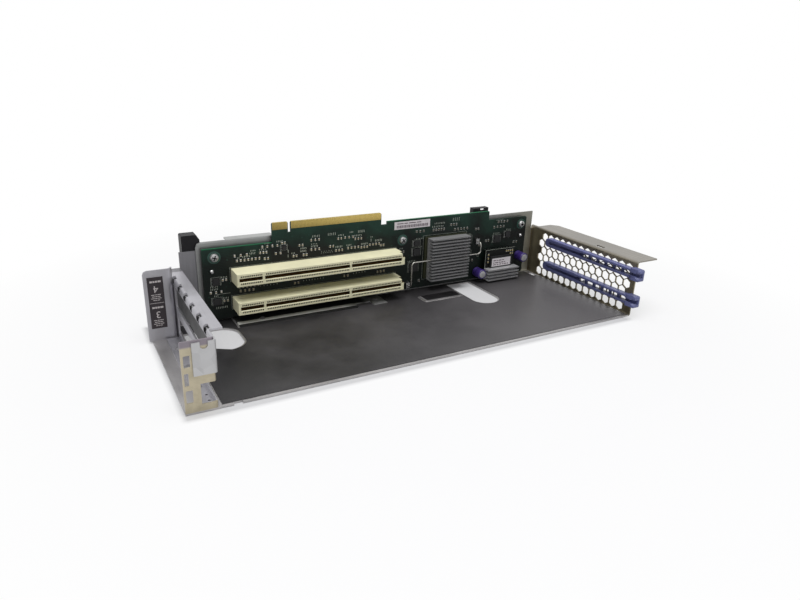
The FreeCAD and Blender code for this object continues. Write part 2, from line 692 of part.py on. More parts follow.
def make_clip():
    """Spring wire over the heat sink, hooked under two small anchors on the board."""
    radius = value("wire") / 2
    turn = 2.5
    y = -7.2
    mid = value("sink_low + sink_high / 2")
    left, right, low, high = [value(f"clip_{end}") for end in ("left", "right", "low", "high")]
    path = [FreeCAD.Vector(left, -2.2, low), FreeCAD.Vector(left, y, low), FreeCAD.Vector(left, y, mid),
            FreeCAD.Vector(right, y, mid), FreeCAD.Vector(right, y, high), FreeCAD.Vector(right, -2.2, high)]
    edges = []
    at = path[0]
    for i in range(1, len(path) - 1):
        back = (path[i - 1] - path[i]).normalize()
        ahead = (path[i + 1] - path[i]).normalize()
        a = path[i] + back * turn
        b = path[i] + ahead * turn
        centre = path[i] + (back + ahead) * turn
        middle = centre - (back + ahead).normalize() * turn
        edges.append(Part.LineSegment(at, a).toShape())
        edges.append(Part.Arc(a, middle, b).toShape())
        at = b
    edges.append(Part.LineSegment(at, path[-1]).toShape())
    wire = Part.Wire(edges)
    section = Part.Wire(Part.makeCircle(radius, path[0], FreeCAD.Vector(0, -1, 0)))
    clip = doc.addObject("Part::Feature", "sink_clip")
    clip.Shape = wire.makePipeShell([section], True, True)
    return clip


def make_anchors():
    """Two small feet on the board with a hole for the ends of the wire."""
    feet = []
    for x, z in ((value("clip_left"), value("clip_low")), (value("clip_right"), value("clip_high"))):
        foot = block_shape(x - 1.6, -2.6, z - 2.2, 3.2, 2.6, 4.4)
        hole = Part.makeCylinder(value("wire") / 2 + 0.05, 3.0, FreeCAD.Vector(x, -2.7, z), FreeCAD.Vector(0, 1, 0))
        feet.append(foot.cut(hole))
    return solid_group("clip_anchors", feet)


def make_module():
    """Small regulator board on its own pins, with a power chip and a finned block."""
    right = "(module_left + module_wide)"
    board = box("module_board", ("module_left", right), ("-5.2", "-4"), ("module_low", "module_top"))
    chip = box("module_chip", ("module_left + 4.6", "module_left + 27.2"), ("-6.9", "-5.2"),
               ("module_low + 9.1", "module_low + 18.6"))
    label = box("module_label", ("module_left + 6", "module_left + 25.6"), ("-7", "-6.9"),
                ("module_low + 9.8", "module_low + 16.8"))
    pins = []
    for i in range(10):
        for z in (value("module_low") + 0.8, value("module_top") - 1.4):
            pins.append(block_shape(value("module_left") + 2.2 + i * 2.9, -4, z, 0.64, 4, 0.64))
    header = solid_group("module_pins", pins)
    sink = new_body("module_sink")
    span = ("module_left - 0.4", f"{right} + 0.4")
    pad(sink, "XZ", [rectangle(span[0], span[1], "module_low - 0.8", "module_low + 8.7")], "-6.6", "-5.2")
    fin = pad(sink, "XZ", [rectangle(span[0], span[1], "module_low - 0.8", "module_low + 0.3")], "-12.4", "-6.5")
    along(sink, fin, "Z_Axis", "2.8", "4")
    return [board, chip, label, header, sink]


def make_can(label, x, z):
    """Electrolytic capacitor with its axis across the board: sleeve, crimp ring and top."""
    can = new_body(label)
    r = "can_wide / 2"
    sketch = new_sketch(can, "XY", "0")
    loop = [("0", "0"), (r, "0"), (r, "-2"), (f"{r} - 0.5", "-2.6"), (r, "-3.2")]
    loop += [(r, "0.5 - can_long"), (f"{r} - 0.5", "-can_long"), ("0", "-can_long")]
    draw_loop(sketch, loop)
    doc.recompute()
    spin = can.newObject("PartDesign::Revolution", "Turned")
    spin.Profile = sketch
    spin.ReferenceAxis = (sketch, ["V_Axis"])
    spin.Angle = 360
    bind(can, "Placement.Base.x", x)
    bind(can, "Placement.Base.z", z)
    return can


def make_guide(label, low, row):
    """Moulded card guide: two rails, a groove between them, a deeper block at the mouth
    and two pegs in hexagons of the end wall's grille."""
    guide = new_body(label)
    mid = f"({low})"
    half = "guide_high / 2"
    face = END
    rails = [("-guide_tip", f"{mid} - {half}"), ("-guide_start", f"{mid} - {half}", "3")]
    rails += [("-guide_start", f"{mid} + {half}", "3"), ("-guide_tip", f"{mid} + {half}")]
    pad(guide, "YZ", [rails], f"{face} - guide_thick", face)
    mouth = [("-guide_tip", f"{mid} - {half} - 0.9", "1.2"), ("-guide_tip + 9", f"{mid} - {half} - 0.9", "0.6")]
    mouth += [("-guide_tip + 9", f"{mid} + {half} + 0.9", "0.6"), ("-guide_tip", f"{mid} + {half} + 0.9", "1.2")]
    pad(guide, "YZ", [mouth], f"{face} - guide_thick - 0.5", face)
    wide = "groove / 2"
    gap = [("-guide_tip - 1", f"{mid} - {wide} - 0.8"), ("-guide_tip + 4", f"{mid} - {wide}")]
    gap += [("-guide_start - 4", f"{mid} - {wide}"), ("-guide_start - 4", f"{mid} + {wide}")]
    gap += [("-guide_tip + 4", f"{mid} + {wide}"), ("-guide_tip - 1", f"{mid} + {wide} + 0.8")]
    pocket(guide, "YZ", [gap], f"{face} - guide_thick - 1", f"{face} - 1.2")
    first = rectangle("-guide_open - 6", "-guide_open", f"{mid} - {wide}", f"{mid} + {wide}")
    window = pocket(guide, "YZ", [first], f"{face} - 2", f"{face} + 1")
    windows = along(guide, window, "Y_Axis", "guide_pitch", "floor((guide_tip - guide_open - 6) / guide_pitch)")
    windows.Reversed = True
    pegs = [hexagon_centre(column, row) + ("1.1",) for column in (3, 7)]
    pad(guide, "YZ", [], f"{face} - 0.6", f"{face} + gauge + 1.2", pegs)
    return guide


def make_locators():
    """Two black plastic latch blocks on the carrier, above the edge of the board."""
    left = new_body("locator_left")
    back = f"({WING} + gauge)"
    side = "(carrier_left - 8.2)"
    shape = [(side, "wing_top - 8"), ("carrier_left + 3.6", "wing_top - 8")]
    shape += [("carrier_left + 3.6", "locator_top - 3.4"), ("carrier_left + 1.6", "locator_top")]
    shape += [(side, "locator_top", "1")]
    pad(left, "XZ", [shape], back, f"{back} + 9")
    right = new_body("locator_right")
    behind = f"({REAR} + gauge)"
    near = "(module_left - 8.6)"
    far = "(module_left + 6.6)"
    shape = [(near, "carrier_top - 10"), (far, "carrier_top - 10"), (far, "locator_top", "1.2")]
    shape += [(f"{near} + 1.6", "locator_top"), (near, "locator_top - 2")]
    pad(right, "XZ", [shape], behind, f"{behind} + 5")
    pocket(right, "XZ", [rectangle(f"{near} + 7.2", f"{near} + 10.6", "locator_top - 3.6", "locator_top - 1.6")],
           f"{behind} - 1", f"{behind} + 6")
    return [left, right]


def turned(profile, x, y, z):
    """A solid of revolution about an axis across the board, from (radius, y) corners."""
    points = [FreeCAD.Vector(x + r, y + d, z) for r, d in profile]
    wire = Part.makePolygon(points + [points[0]])
    return Part.Face(wire).revolve(FreeCAD.Vector(x, y, z), FreeCAD.Vector(0, 1, 0), 360)


def make_hardware():
    """Board screws, the spacers behind the board, locating pins and sheet rivets."""
    rear = value(REAR)
    thick = value("board_thick")
    screws = []
    spacers = []
    for x, z in SCREWS:
        at = (value(x), 0, value(z))
        head = [(0, -2.2), (2.0, -2.2), (2.8, -1.5), (2.9, 0), (1.5, 0), (1.5, rear), (0, rear)]
        screw = turned(head, *at)
        for wide, high in ((2.6, 0.6), (0.6, 2.6)):
            screw = screw.cut(block_shape(at[0] - wide / 2, -2.3, at[2] - high / 2, wide, 1.1, high))
        screws.append(screw)
        ring = [(1.6, thick), (3.0, thick), (3.0, rear), (1.6, rear)]
        spacers.append(turned(ring, *at))
    pins = []
    for x, z in PINS:
        pin = [(0, -1.6), (0.8, -1.6), (1.3, -1.0), (1.3, 0), (0, 0)]
        pins.append(turned(pin, value(x), 0, value(z)))
    return [solid_group("board_screws", screws), solid_group("board_spacers", spacers),
            solid_group("locating_pins", pins), make_rivets()]


def make_rivets():
    """Rivets through two sheets each, flush on one side and domed on the other."""
    rivets = []
    up = FreeCAD.Vector(0, 0, 1)
    back = FreeCAD.Vector(0, 1, 0)
    out = FreeCAD.Vector(-1, 0, 0)
    places = [((x, y, "0"), up) for x, y in FOOT_RIVETS + CARRIER_RIVETS]
    places += [((x, REAR, z), back) for x, z in WING_RIVETS + RETURN_RIVETS]
    places += [(("wall_x + gauge", y, z), out) for y, z in LABEL_RIVETS]
    radius = value("rivet")
    grip = value("2 * gauge")
    for at, way in places:
        foot = FreeCAD.Vector(*[value(number) for number in at])
        shank = Part.makeCylinder(radius, grip, foot, way)
        head = Part.makeCone(radius * 1.8, radius, radius * 0.6, foot + way * grip, way)
        rivets.append(shank.fuse(head))
    return solid_group("sheet_rivets", rivets)


# Free strips of the board right of the card slots
STRIPS = {
    "by_slots": ("socket_long + 1", "sink_left - 2.2"),
    "by_anchor": ("sink_right + 2.2", "clip_right - 2.2"),
    "by_sink": ("sink_right + 2.2", "module_left - 1"),
    "over_sink": ("socket_long + 1", "module_left - 1"),
    "over_module": ("module_left + 1", "board_right - 9"),
}


def on_board(x, z, wide):
    """Left low corner of a small part or a row of them. One that stands in a free strip has
    its share of the strip, and one above the slots keeps its distance from the top edge."""
    if isinstance(x, tuple):
        left, right = [value(end) for end in STRIPS[x[0]]]
        x = left + x[1] * (right - left - wide)
    return x, z + value("board_top") - 53.6 if z > 41 else z


def make_board_parts():
    """Chip capacitors, resistors and small packages in the groups that the board carries."""
    caps = []
    for x, z, count, pitch in ((4.0, 42.6, 7, 2.6), (2.6, 46.2, 3, 4.2), (22.0, 50.4, 4, 3.6),
                               (31.5, 44.6, 2, 3.4), (58.0, 51.4, 3, 3.0), (58.0, 44.4, 3, 3.0),
                               (84.5, 50.6, 3, 3.2), (87.0, 42.4, 4, 2.8), (105.0, 43.0, 4, 2.6),
                               (4.5, 23.6, 6, 2.7), (40.0, 24.4, 4, 3.1), (72.0, 24.0, 4, 2.8),
                               (("over_sink", 0.227), 49.0, 3, 3.2), (("over_sink", 0.767), 47.4, 5, 3.0),
                               (("by_sink", 0.103), 19.0, 3, 3.2), (("over_module", 0.373), 45.4, 4, 3.3),
                               (-15.0, 22.0, 3, 3.6)):
        left, low = on_board(x, z, (count - 1) * pitch + 0.9)
        for i in range(count):
            caps.append(block_shape(left + i * pitch, -0.8, low, 0.9, 0.8, 1.7))
    chips = []
    for x, z, wide, high in ((35.8, 47.4, 4.4, 3.4), (("by_slots", 0.705), 17.6, 9.0, 7.0),
                             (("by_slots", 0.823), 30.6, 7.6, 5.6), (("by_slots", 0.796), 38.4, 6.4, 4.2),
                             (("by_anchor", 0.29), 35.0, 5.0, 6.4), (("by_sink", 0.113), 24.4, 4.6, 4.0),
                             (("over_module", 0.335), 33.0, 8.0, 6.0), (("over_module", 0.727), 36.5, 6.0, 5.0),
                             (-13.5, 28.0, 6.0, 5.0), (-14.0, 14.0, 7.0, 4.4)):
        left, low = on_board(x, z, wide)
        chips.append(block_shape(left, -1.5, low, wide, 1.5, high))
    return [solid_group("chip_capacitors", caps), solid_group("small_chips", chips)]


def make_board_label():
    left = "socket_long - 1.6"
    return box("board_label", (left, f"{left} + 32"), ("-0.15", "0"), ("board_mid - 7.4", "board_mid - 1.4"))


def build():
    parts = [make_pan(), make_film(), make_slot_bracket(), make_label_plate(), make_label()]
    parts += [make_filler()] + make_gaskets() + [make_carrier(), make_board(), make_fingers()]
    parts.append(make_socket("slot_connector_lower", "low_slot"))
    parts.append(make_socket("slot_connector_upper", HIGH_SLOT))
    parts += [make_heat_sink(), make_chip(), make_clip(), make_anchors()]
    parts += make_module()
    parts.append(make_can("capacitor_left", "module_left - 5", "9.2"))
    parts.append(make_can("capacitor_right", "board_right - 6.6", "18.8"))
    parts.append(make_guide("card_guide_lower", "low_slot", 1))
    parts.append(make_guide("card_guide_upper", HIGH_SLOT, 5))
    parts += make_locators() + make_hardware() + make_board_parts() + [make_board_label()]
    doc.recompute()
    for thing in doc.Objects:
        if "Invalid" in thing.State or "Error" in thing.State:
            raise RuntimeError(f"{thing.Name} failed: {thing.State}")
    os.makedirs("parts", exist_ok=True)
    for part in parts:
        if part.Shape.isNull() or not part.Shape.isValid():
            raise RuntimeError(f"{part.Label} has no valid shape")
        part.Shape.exportStep(f"parts/{part.Label}.step")


build()
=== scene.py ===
"""A two-slot riser cage of a rack server: finishes for its CAD parts and the pieces
whose detail is too fine for them, on a plain stage."""

import json
import math

import bmesh
import bpy
from mathutils import Matrix, Vector

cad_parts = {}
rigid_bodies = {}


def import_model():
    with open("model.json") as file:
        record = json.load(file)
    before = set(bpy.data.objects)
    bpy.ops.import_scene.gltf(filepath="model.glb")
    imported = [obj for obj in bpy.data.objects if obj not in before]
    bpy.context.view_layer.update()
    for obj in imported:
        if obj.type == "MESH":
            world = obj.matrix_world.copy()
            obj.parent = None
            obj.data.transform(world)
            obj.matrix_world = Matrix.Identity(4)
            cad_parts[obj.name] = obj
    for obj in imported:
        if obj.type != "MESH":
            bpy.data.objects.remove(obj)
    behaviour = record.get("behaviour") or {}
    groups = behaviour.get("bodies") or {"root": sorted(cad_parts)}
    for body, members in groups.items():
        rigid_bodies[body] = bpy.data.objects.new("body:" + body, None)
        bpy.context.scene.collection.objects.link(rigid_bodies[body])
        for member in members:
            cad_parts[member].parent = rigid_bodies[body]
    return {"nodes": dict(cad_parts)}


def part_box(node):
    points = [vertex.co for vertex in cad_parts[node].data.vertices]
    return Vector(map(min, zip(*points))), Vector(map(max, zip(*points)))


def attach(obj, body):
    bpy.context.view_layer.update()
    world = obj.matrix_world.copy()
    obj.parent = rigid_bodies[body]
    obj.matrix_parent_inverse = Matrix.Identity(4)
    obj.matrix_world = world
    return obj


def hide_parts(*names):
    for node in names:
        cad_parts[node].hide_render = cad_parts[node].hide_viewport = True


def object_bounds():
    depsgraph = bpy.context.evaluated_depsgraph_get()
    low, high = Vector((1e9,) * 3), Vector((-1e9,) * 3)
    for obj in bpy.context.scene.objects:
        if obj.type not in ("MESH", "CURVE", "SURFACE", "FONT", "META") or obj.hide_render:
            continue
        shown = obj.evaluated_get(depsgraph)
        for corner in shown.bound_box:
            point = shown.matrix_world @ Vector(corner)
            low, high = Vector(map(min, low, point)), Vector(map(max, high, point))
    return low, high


bl_info = {
    "name": "Riser cage",
    "version": (1, 0, 0),
    "blender": (4, 5, 0),
    "location": "3D View > Sidebar > Riser",
    "description": "Detailed pieces, finishes and a stage for a two-slot riser cage",
    "category": "Object",
}

for leftover in list(bpy.data.objects):
    bpy.data.objects.remove(leftover)

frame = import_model()
NODES = frame["nodes"]
CAD_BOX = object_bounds()
MM = 0.001
TOUCH = 0.01  # millimetres: places nearer than this are the same


def linear(channel):
    """One channel of a screen colour, 0 to 255, as linear light."""
    part = channel / 255
    return part / 12.92 if part <= 0.04045 else ((part + 0.055) / 1.055) ** 2.4


def tone(red, green, blue):
    return (linear(red), linear(green), linear(blue), 1.0)


def colour(name, text, red, green, blue):
    return bpy.props.FloatVectorProperty(name=name, description=text, subtype="COLOR", size=4,
                                         min=0.0, max=1.0, default=tone(red, green, blue))


def length(name, text, millimetres):
    return bpy.props.FloatProperty(name=name, description=text, subtype="DISTANCE", unit="LENGTH",
                                   min=0.0, precision=5, default=millimetres * MM)


def angle(name, text, degrees):
    return bpy.props.FloatProperty(name=name, description=text, subtype="ANGLE",
                                   default=math.radians(degrees))


def amount(name, text, value, subtype="NONE", least=0.0):
    return bpy.props.FloatProperty(name=name, description=text, subtype=subtype, min=least, default=value)


class RiserSizes(bpy.types.PropertyGroup):
    contact_pitch: length("Contact pitch", "Step from one contact of a card slot to the next", 1.27)
    contact_window: length("Contact window", "Length of the window over each contact", 0.84)
    card_gap: length("Card gap", "Width of the gap that takes a card's edge", 2.3)
    gap_depth: length("Gap depth", "Depth of the card gap", 8.4)
    window_depth: length("Window depth", "Depth of the contact windows", 3.0)
    window_from: length("Window side", "From the middle of the card gap to the near side of a window", 1.95)
    window_to: length("Window far side", "From the middle of the card gap to the far side of a window", 3.05)
    key_width: length("Key rib", "Width of the ribs that cross the card gap", 1.7)
    pad_width: length("Contact pad", "Width of a contact pad of the plug-in edge", 0.92)
    guide_opening: length("Guide opening", "Width of the card guides' groove where it is open", 3.5)
    screw_head: length("Screw head", "Radius of the board screws' heads", 2.9)
    pad_ring: length("Pad ring", "Radius of the ring of solder mask round a board screw", 4.4)
    digit_height: length("Digit height", "Height of the slot numbers", 4.6)


class RiserColours(bpy.types.PropertyGroup):
    pan: colour("Pan", "Bare galvanised sheet of the pan", 184, 182, 182)
    end_wall: colour("End wall", "Warmer, duller tone of the pan's perforated wall", 150, 141, 118)
    bracket: colour("Slot wall", "Sheet of the slot wall and label plate", 178, 177, 182)
    # The shelf's warm tone is a painted warm reflection on the slot wall's sheet
    shelf: colour("Tab shelf", "Warm tone of the shelf that carries the bracket tabs", 184, 175, 152)
    carrier: colour("Carrier", "Sheet behind the board", 150, 151, 150)
    zinc: colour("Filler", "Zinc plate of the blank bracket", 178, 178, 179)
    spring: colour("Spring steel", "Contact strips and the wire over the heat sink", 168, 166, 160)
    film: colour("Film", "Insulating film on the floor", 24, 23, 25)
    # Painted sheen towards the end wall, and also the colour of the dust specks and rubbed patches
    film_far: colour("Film far end", "Film where it is dusty, towards the end wall", 84, 82, 84)
    board: colour("Board", "Solder mask of the riser board", 5, 8, 6)
    board_light: colour("Board copper", "Solder mask over copper, near the top edge", 26, 54, 44)
    ring: colour("Mask ring", "Solder mask round the board screws", 14, 62, 50)
    module: colour("Module board", "Solder mask of the regulator board", 9, 11, 9)
    gold: colour("Gold", "Plated contacts", 200, 176, 104)
    # Gold darkened by painted shade on the contact springs inside the card gaps
    contact: colour("Slot contact", "Contact springs in the card gaps", 128, 96, 50)
    cream: colour("Cream plastic", "Housings of the card slots", 236, 232, 196)
    # Painted shade: the darker housing colour deep inside the card gaps and their windows
    gap: colour("Card gap", "Housing inside the card gaps", 74, 60, 38)
    guide: colour("Guide plastic", "Card guides", 84, 88, 128)
    black: colour("Black plastic", "Latch blocks", 15, 15, 18)
    chip: colour("Chip", "Moulded chip bodies", 13, 13, 15)
    substrate: colour("Substrate", "Laminate under the bridge chip", 46, 49, 29)
    sink: colour("Heat sink", "Extruded aluminium", 128, 128, 129)
    sleeve: colour("Sleeve", "Sleeves of the capacitors", 54, 38, 104)
    ceramic: colour("Ceramic", "Bodies of the chip capacitors", 150, 136, 108)
    tin: colour("Tin", "Tinned leads and ends", 186, 186, 186)
    can_top: colour("Capacitor top", "Scored tops of the can capacitors", 168, 168, 170)
    edge: colour("Laminate edge", "Bare edge of the board above the contacts", 176, 158, 96)
    rivets: colour("Rivets", "Heads of the sheet rivets", 120, 119, 121)
    label: colour("White label", "Paper labels", 220, 215, 218)
    label_ink: colour("Label ink", "Bars on the paper labels", 96, 82, 92)
    dark_label: colour("Slot label", "Ground of the slot label", 42, 36, 40)
    ink: colour("Ink", "Marks on the slot label", 196, 190, 190)
    mark: colour("Board marks", "Marks printed on the board", 168, 174, 164)
    floor: colour("Floor", "Floor that the cage stands on", 236, 236, 238)


class RiserStage(bpy.types.PropertyGroup):
    eye: bpy.props.FloatVectorProperty(name="Eye", description="Place of the camera", subtype="XYZ",
                                       unit="LENGTH", size=3, precision=5,
                                       default=(-0.101997, -0.407552, 0.174788))
    azimuth: angle("Azimuth", "Turn of the view from the Y axis towards X", 30.044)
    elevation: angle("Elevation", "How far the camera looks down", 20.954)
    roll: angle("Roll", "Tilt of the camera about its own axis", 2.122)
    lens: amount("Lens", "Focal length on a 36 mm sensor, in millimetres", 28.21, least=1.0)
    daylight: amount("Room light", "Strength of the even light all round", 0.36)
    key_light: amount("Key light", "Power of the large light overhead", 9.0, "POWER")
    side_light: amount("Side light", "Power of the light from the left", 0.6, "POWER")


# Modelling: small steps on bpy.ops, in millimetres

def leave_editing():
    if bpy.context.object and bpy.context.object.mode != "OBJECT":
        bpy.ops.object.mode_set(mode="OBJECT")


def start_clean():
    leave_editing()
    bpy.ops.object.select_all(action="DESELECT")


def work_on(piece):
    start_clean()
    piece.select_set(True)
    bpy.context.view_layer.objects.active = piece


def edit(piece, kind="FACE"):
    work_on(piece)
    bpy.ops.object.mode_set(mode="EDIT")
    bpy.ops.mesh.select_mode(type=kind)
    bpy.ops.mesh.select_all(action="DESELECT")


def settle(piece, name):
    """Names a new piece and puts its place into its mesh."""
    piece.name = name
    piece.data.name = name
    work_on(piece)
    bpy.ops.object.transform_apply(location=True, rotation=True, scale=True)
    return piece


def block(name, low, high):
    """A box between two corners."""
    start_clean()
    middle = [(a + b) / 2 * MM for a, b in zip(low, high)]
    size = [(b - a) * MM for a, b in zip(low, high)]
    bpy.ops.mesh.primitive_cube_add(size=1, location=middle, scale=size)
    return settle(bpy.context.object, name)


def pick(piece, kind, test):
    bpy.ops.mesh.select_mode(type=kind)
    bpy.ops.mesh.select_all(action="DESELECT")
    shape = bmesh.from_edit_mesh(piece.data)
    for part in shape.faces if kind == "FACE" else shape.edges:
        if test(part):
            part.select_set(True)
    bmesh.update_edit_mesh(piece.data)


def pick_faces(piece, test):
    """Selects, in edit mode, the faces whose middle and normal pass the test."""
    pick(piece, "FACE", lambda face: test(face.calc_center_median() / MM, face.normal))


def pick_edges(piece, test):
    """Selects, in edit mode, the edges whose two ends pass the test."""
    pick(piece, "EDGE", lambda edge: test(*[end.co / MM for end in edge.verts]))


def faces_front(middle, normal):
    return normal.y < -0.5


def slice_at(axis, places):
    """Cuts the whole mesh being edited with planes across an axis."""
    for place in places:
        across = [0.0, 0.0, 0.0]
        across[axis] = 1.0
        bpy.ops.mesh.select_all(action="SELECT")
        bpy.ops.mesh.bisect(plane_co=[part * place * MM for part in across], plane_no=across)


def push(x, y, z):
    bpy.ops.mesh.extrude_region_move(TRANSFORM_OT_translate={"value": (x * MM, y * MM, z * MM)})


def inset_front(piece, width):
    """Insets the face that looks along -Y."""
    edit(piece)
    pick_faces(piece, faces_front)
    bpy.ops.mesh.inset(thickness=width * MM, depth=0)
    leave_editing()
    return piece


def modify(piece, kind, **settings):
    """Adds a modifier and applies it."""
    work_on(piece)
    step = piece.modifiers.new(kind, kind)
    for name, setting in settings.items():
        setattr(step, name, setting)
    bpy.ops.object.modifier_apply(modifier=step.name)
    return piece


def soften(piece, width, steps=2, over=40):
    """Bevels the edges that turn by more than an angle."""
    return modify(piece, "BEVEL", width=width * MM, segments=steps, limit_method="ANGLE",
                  angle_limit=math.radians(over))


def carve(piece, tool):
    """Takes another solid out of a piece."""
    modify(piece, "BOOLEAN", operation="DIFFERENCE", solver="EXACT", object=tool)
    discard(tool)
    return piece


def row_of(piece, count, step):
    """A row along X, welded where one joins the next."""
    return modify(piece, "ARRAY", count=count, use_relative_offset=False, use_constant_offset=True,
                  constant_offset_displace=(step * MM, 0, 0), use_merge_vertices=True,
                  merge_threshold=TOUCH * MM)


def smooth(piece, up_to=40):
    work_on(piece)
    bpy.ops.object.shade_smooth_by_angle(angle=math.radians(up_to))
    return piece


def shift(piece, x, y, z, scale=(1, 1, 1)):
    piece.data.transform(Matrix.Translation((x * MM, y * MM, z * MM)) @ Matrix.Diagonal((*scale, 1)))
    return piece


def copy_at(piece, x, y, z, scale=(1, 1, 1)):
    """A copy with a mesh of its own, moved to another place."""
    twin = piece.copy()
    twin.data = piece.data.copy()
    bpy.context.scene.collection.objects.link(twin)
    return shift(twin, x, y, z, scale)


def mirrored(piece, scale):
    """A mirror image with a mesh of its own, its faces still pointing outwards."""
    twin = copy_at(piece, 0, 0, 0, scale)
    twin.data.flip_normals()
    return twin


def turn(piece, degrees, axis="Y"):
    piece.data.transform(Matrix.Rotation(math.radians(degrees), 4, axis))
    return piece


def discard(*pieces):
    for piece in pieces:
        bpy.data.objects.remove(piece)


def gather(name, parts):
    """Joins parts into one piece."""
    start_clean()
    for part in parts:
        part.select_set(True)
    bpy.context.view_layer.objects.active = parts[0]
    if len(parts) > 1:
        bpy.ops.object.join()
    whole = bpy.context.object
    whole.name = name
    whole.data.name = name
    return whole


def weld(piece, gap=0.002):
    edit(piece, "VERT")
    bpy.ops.mesh.select_all(action="SELECT")
    bpy.ops.mesh.remove_doubles(threshold=gap * MM)
    bpy.ops.mesh.normals_make_consistent(inside=False)
    leave_editing()
    return piece


def turned(name, profile, centre, steps):
    """A piece turned about an axis along Y, from (radius, y) corners that start and end on the axis."""
    start_clean()
    x, y, z = centre
    bpy.ops.mesh.primitive_plane_add(size=MM)
    piece = settle(bpy.context.object, name)
    edit(piece, "VERT")
    bpy.ops.mesh.select_all(action="SELECT")
    bpy.ops.mesh.merge(type="CENTER")
    bpy.ops.transform.translate(value=((x + profile[0][0]) * MM, (y + profile[0][1]) * MM, z * MM))
    for here, after in zip(profile, profile[1:]):
        push(after[0] - here[0], after[1] - here[1], 0)
    bpy.ops.mesh.select_all(action="SELECT")
    bpy.ops.mesh.spin(steps=steps, angle=math.tau, center=(x * MM, y * MM, z * MM), axis=(0, 1, 0))
    leave_editing()
    return weld(piece)


def box_mm(node):
    low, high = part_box(node)
    return low / MM, high / MM


def middle_of(low, high):
    return [(a + b) / 2 for a, b in zip(low, high)]


def solids_of(node):
    """The boxes of the separate solids that share a CAD node."""
    shape = bmesh.new()
    shape.from_mesh(NODES[node].data)
    bmesh.ops.remove_doubles(shape, verts=shape.verts[:], dist=0.000001)
    boxes = []
    waiting = set(shape.verts)
    while waiting:
        group = [waiting.pop()]
        for vertex in group:
            for edge in vertex.link_edges:
                other = edge.other_vert(vertex)
                if other in waiting:
                    waiting.remove(other)
                    group.append(other)
        boxes.append([Vector(end(v.co[i] for v in group) for i in range(3)) / MM for end in (min, max)])
    shape.free()
    return sorted(boxes, key=lambda pair: tuple(pair[0]))


def dress(piece, *names):
    """Gives a piece finishes in place of those that it has."""
    piece.data.materials.clear()
    for name in names:
        piece.data.materials.append(FINISHES[name])


def hand_over(piece, finish, slot, *nodes):
    """Gives a finished piece its finish and its body, and hides the CAD nodes that it stands for."""
    if finish:
        dress(piece, finish)
    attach(piece, "root")
    if nodes:
        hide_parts(*nodes)
    return piece


# Finishes

class Finish:
    """A material's nodes, added and wired one at a time."""

    def __init__(self, name, base, roughness, metallic=0.0, gloss=0.5):
        self.material = bpy.data.materials.new(name)
        self.material.use_nodes = True
        self.tree = self.material.node_tree
        self.shader = self.tree.nodes["Principled BSDF"]
        for key, value in (("Base Color", base), ("Metallic", metallic), ("Roughness", roughness),
                           ("Specular IOR Level", gloss)):
            self.surface(key, value)
        self.place = self.tree.nodes.new("ShaderNodeTexCoord").outputs["Object"]

    def feed(self, socket, entry):
        """Wires an output into a socket, or gives the socket a value."""
        if isinstance(entry, bpy.types.NodeSocket):
            self.tree.links.new(entry, socket)
        else:
            socket.default_value = entry

    def surface(self, name, entry):
        self.feed(self.shader.inputs[name], entry)

    def add(self, kind, inputs, **settings):
        node = self.tree.nodes.new(kind)
        for name, setting in settings.items():
            setattr(node, name, setting)
        for name, entry in inputs.items():
            self.feed(node.inputs[name], entry)
        return node

    def stretched(self, x, y, z):
        return self.add("ShaderNodeMapping", {"Scale": (x, y, z), "Vector": self.place}).outputs["Vector"]

    def noise(self, scale, detail, rough=0.55, place=None):
        inputs = {"Scale": scale, "Detail": detail, "Roughness": rough, "Vector": place or self.place}
        return self.add("ShaderNodeTexNoise", inputs).outputs["Fac"]

    def cells(self, scale, place=None):
        return self.add("ShaderNodeTexVoronoi", {"Scale": scale, "Vector": place or self.place}).outputs

    def greyed(self, source):
        return self.add("ShaderNodeRGBToBW", {"Color": source}).outputs["Val"]

    def spread(self, source, low, high, to_low=0, to_high=1):
        inputs = {"Value": source, "From Min": low, "From Max": high, "To Min": to_low, "To Max": to_high}
        return self.add("ShaderNodeMapRange", inputs).outputs["Result"]

    def maths(self, operation, first, second):
        return self.add("ShaderNodeMath", {0: first, 1: second}, operation=operation).outputs["Value"]

    def blend(self, factor, first, second, kind="MIX"):
        inputs = {"Factor": factor, 6: first, 7: second}
        return self.add("ShaderNodeMix", inputs, data_type="RGBA", blend_type=kind).outputs[2]

    def axis(self, letter):
        return self.add("ShaderNodeSeparateXYZ", {"Vector": self.place}).outputs[letter]

    def within(self, *edges):
        """One past all the edges, each an axis with the millimetres where it starts and ends."""
        inside = None
        for letter, start, end in edges:
            step = self.spread(self.axis(letter), start * MM, end * MM)
            inside = step if inside is None else self.maths("MULTIPLY", inside, step)
        return inside

    def tint_part(self, mask, tint, kind="MIX"):
        """Changes the colour where the mask is one."""
        plain = self.shader.inputs["Base Color"].links[0].from_socket
        self.colour(self.blend(mask, plain, tint, kind))

    def dull(self, factor, *edges):
        """Multiplies the colour past all the edges by a tint or a grey."""
        tint = factor if isinstance(factor, tuple) else grey(factor)
        self.tint_part(self.within(*edges), tint, "MULTIPLY")

    def mottle(self, source, low, high, tint, dark, light):
        """Takes a tint from dark to light as the source goes from low to high."""
        return self.blend(self.spread(source, low, high), shade(tint, dark), shade(tint, light))

    def colour(self, source):
        self.surface("Base Color", source)

    def roughen(self, source, low, high, to_low, to_high):
        self.surface("Roughness", self.spread(source, low, high, to_low, to_high))

    def bump(self, source, depth, strength):
        node = self.add("ShaderNodeBump", {"Strength": strength, "Distance": depth * MM, "Height": source})
        self.surface("Normal", node.outputs["Normal"])


def shade(tint, factor):
    return tuple(min(1.0, part * factor) for part in tint[:3]) + (1.0,)


def grey(part):
    return (part, part, part, 1.0)


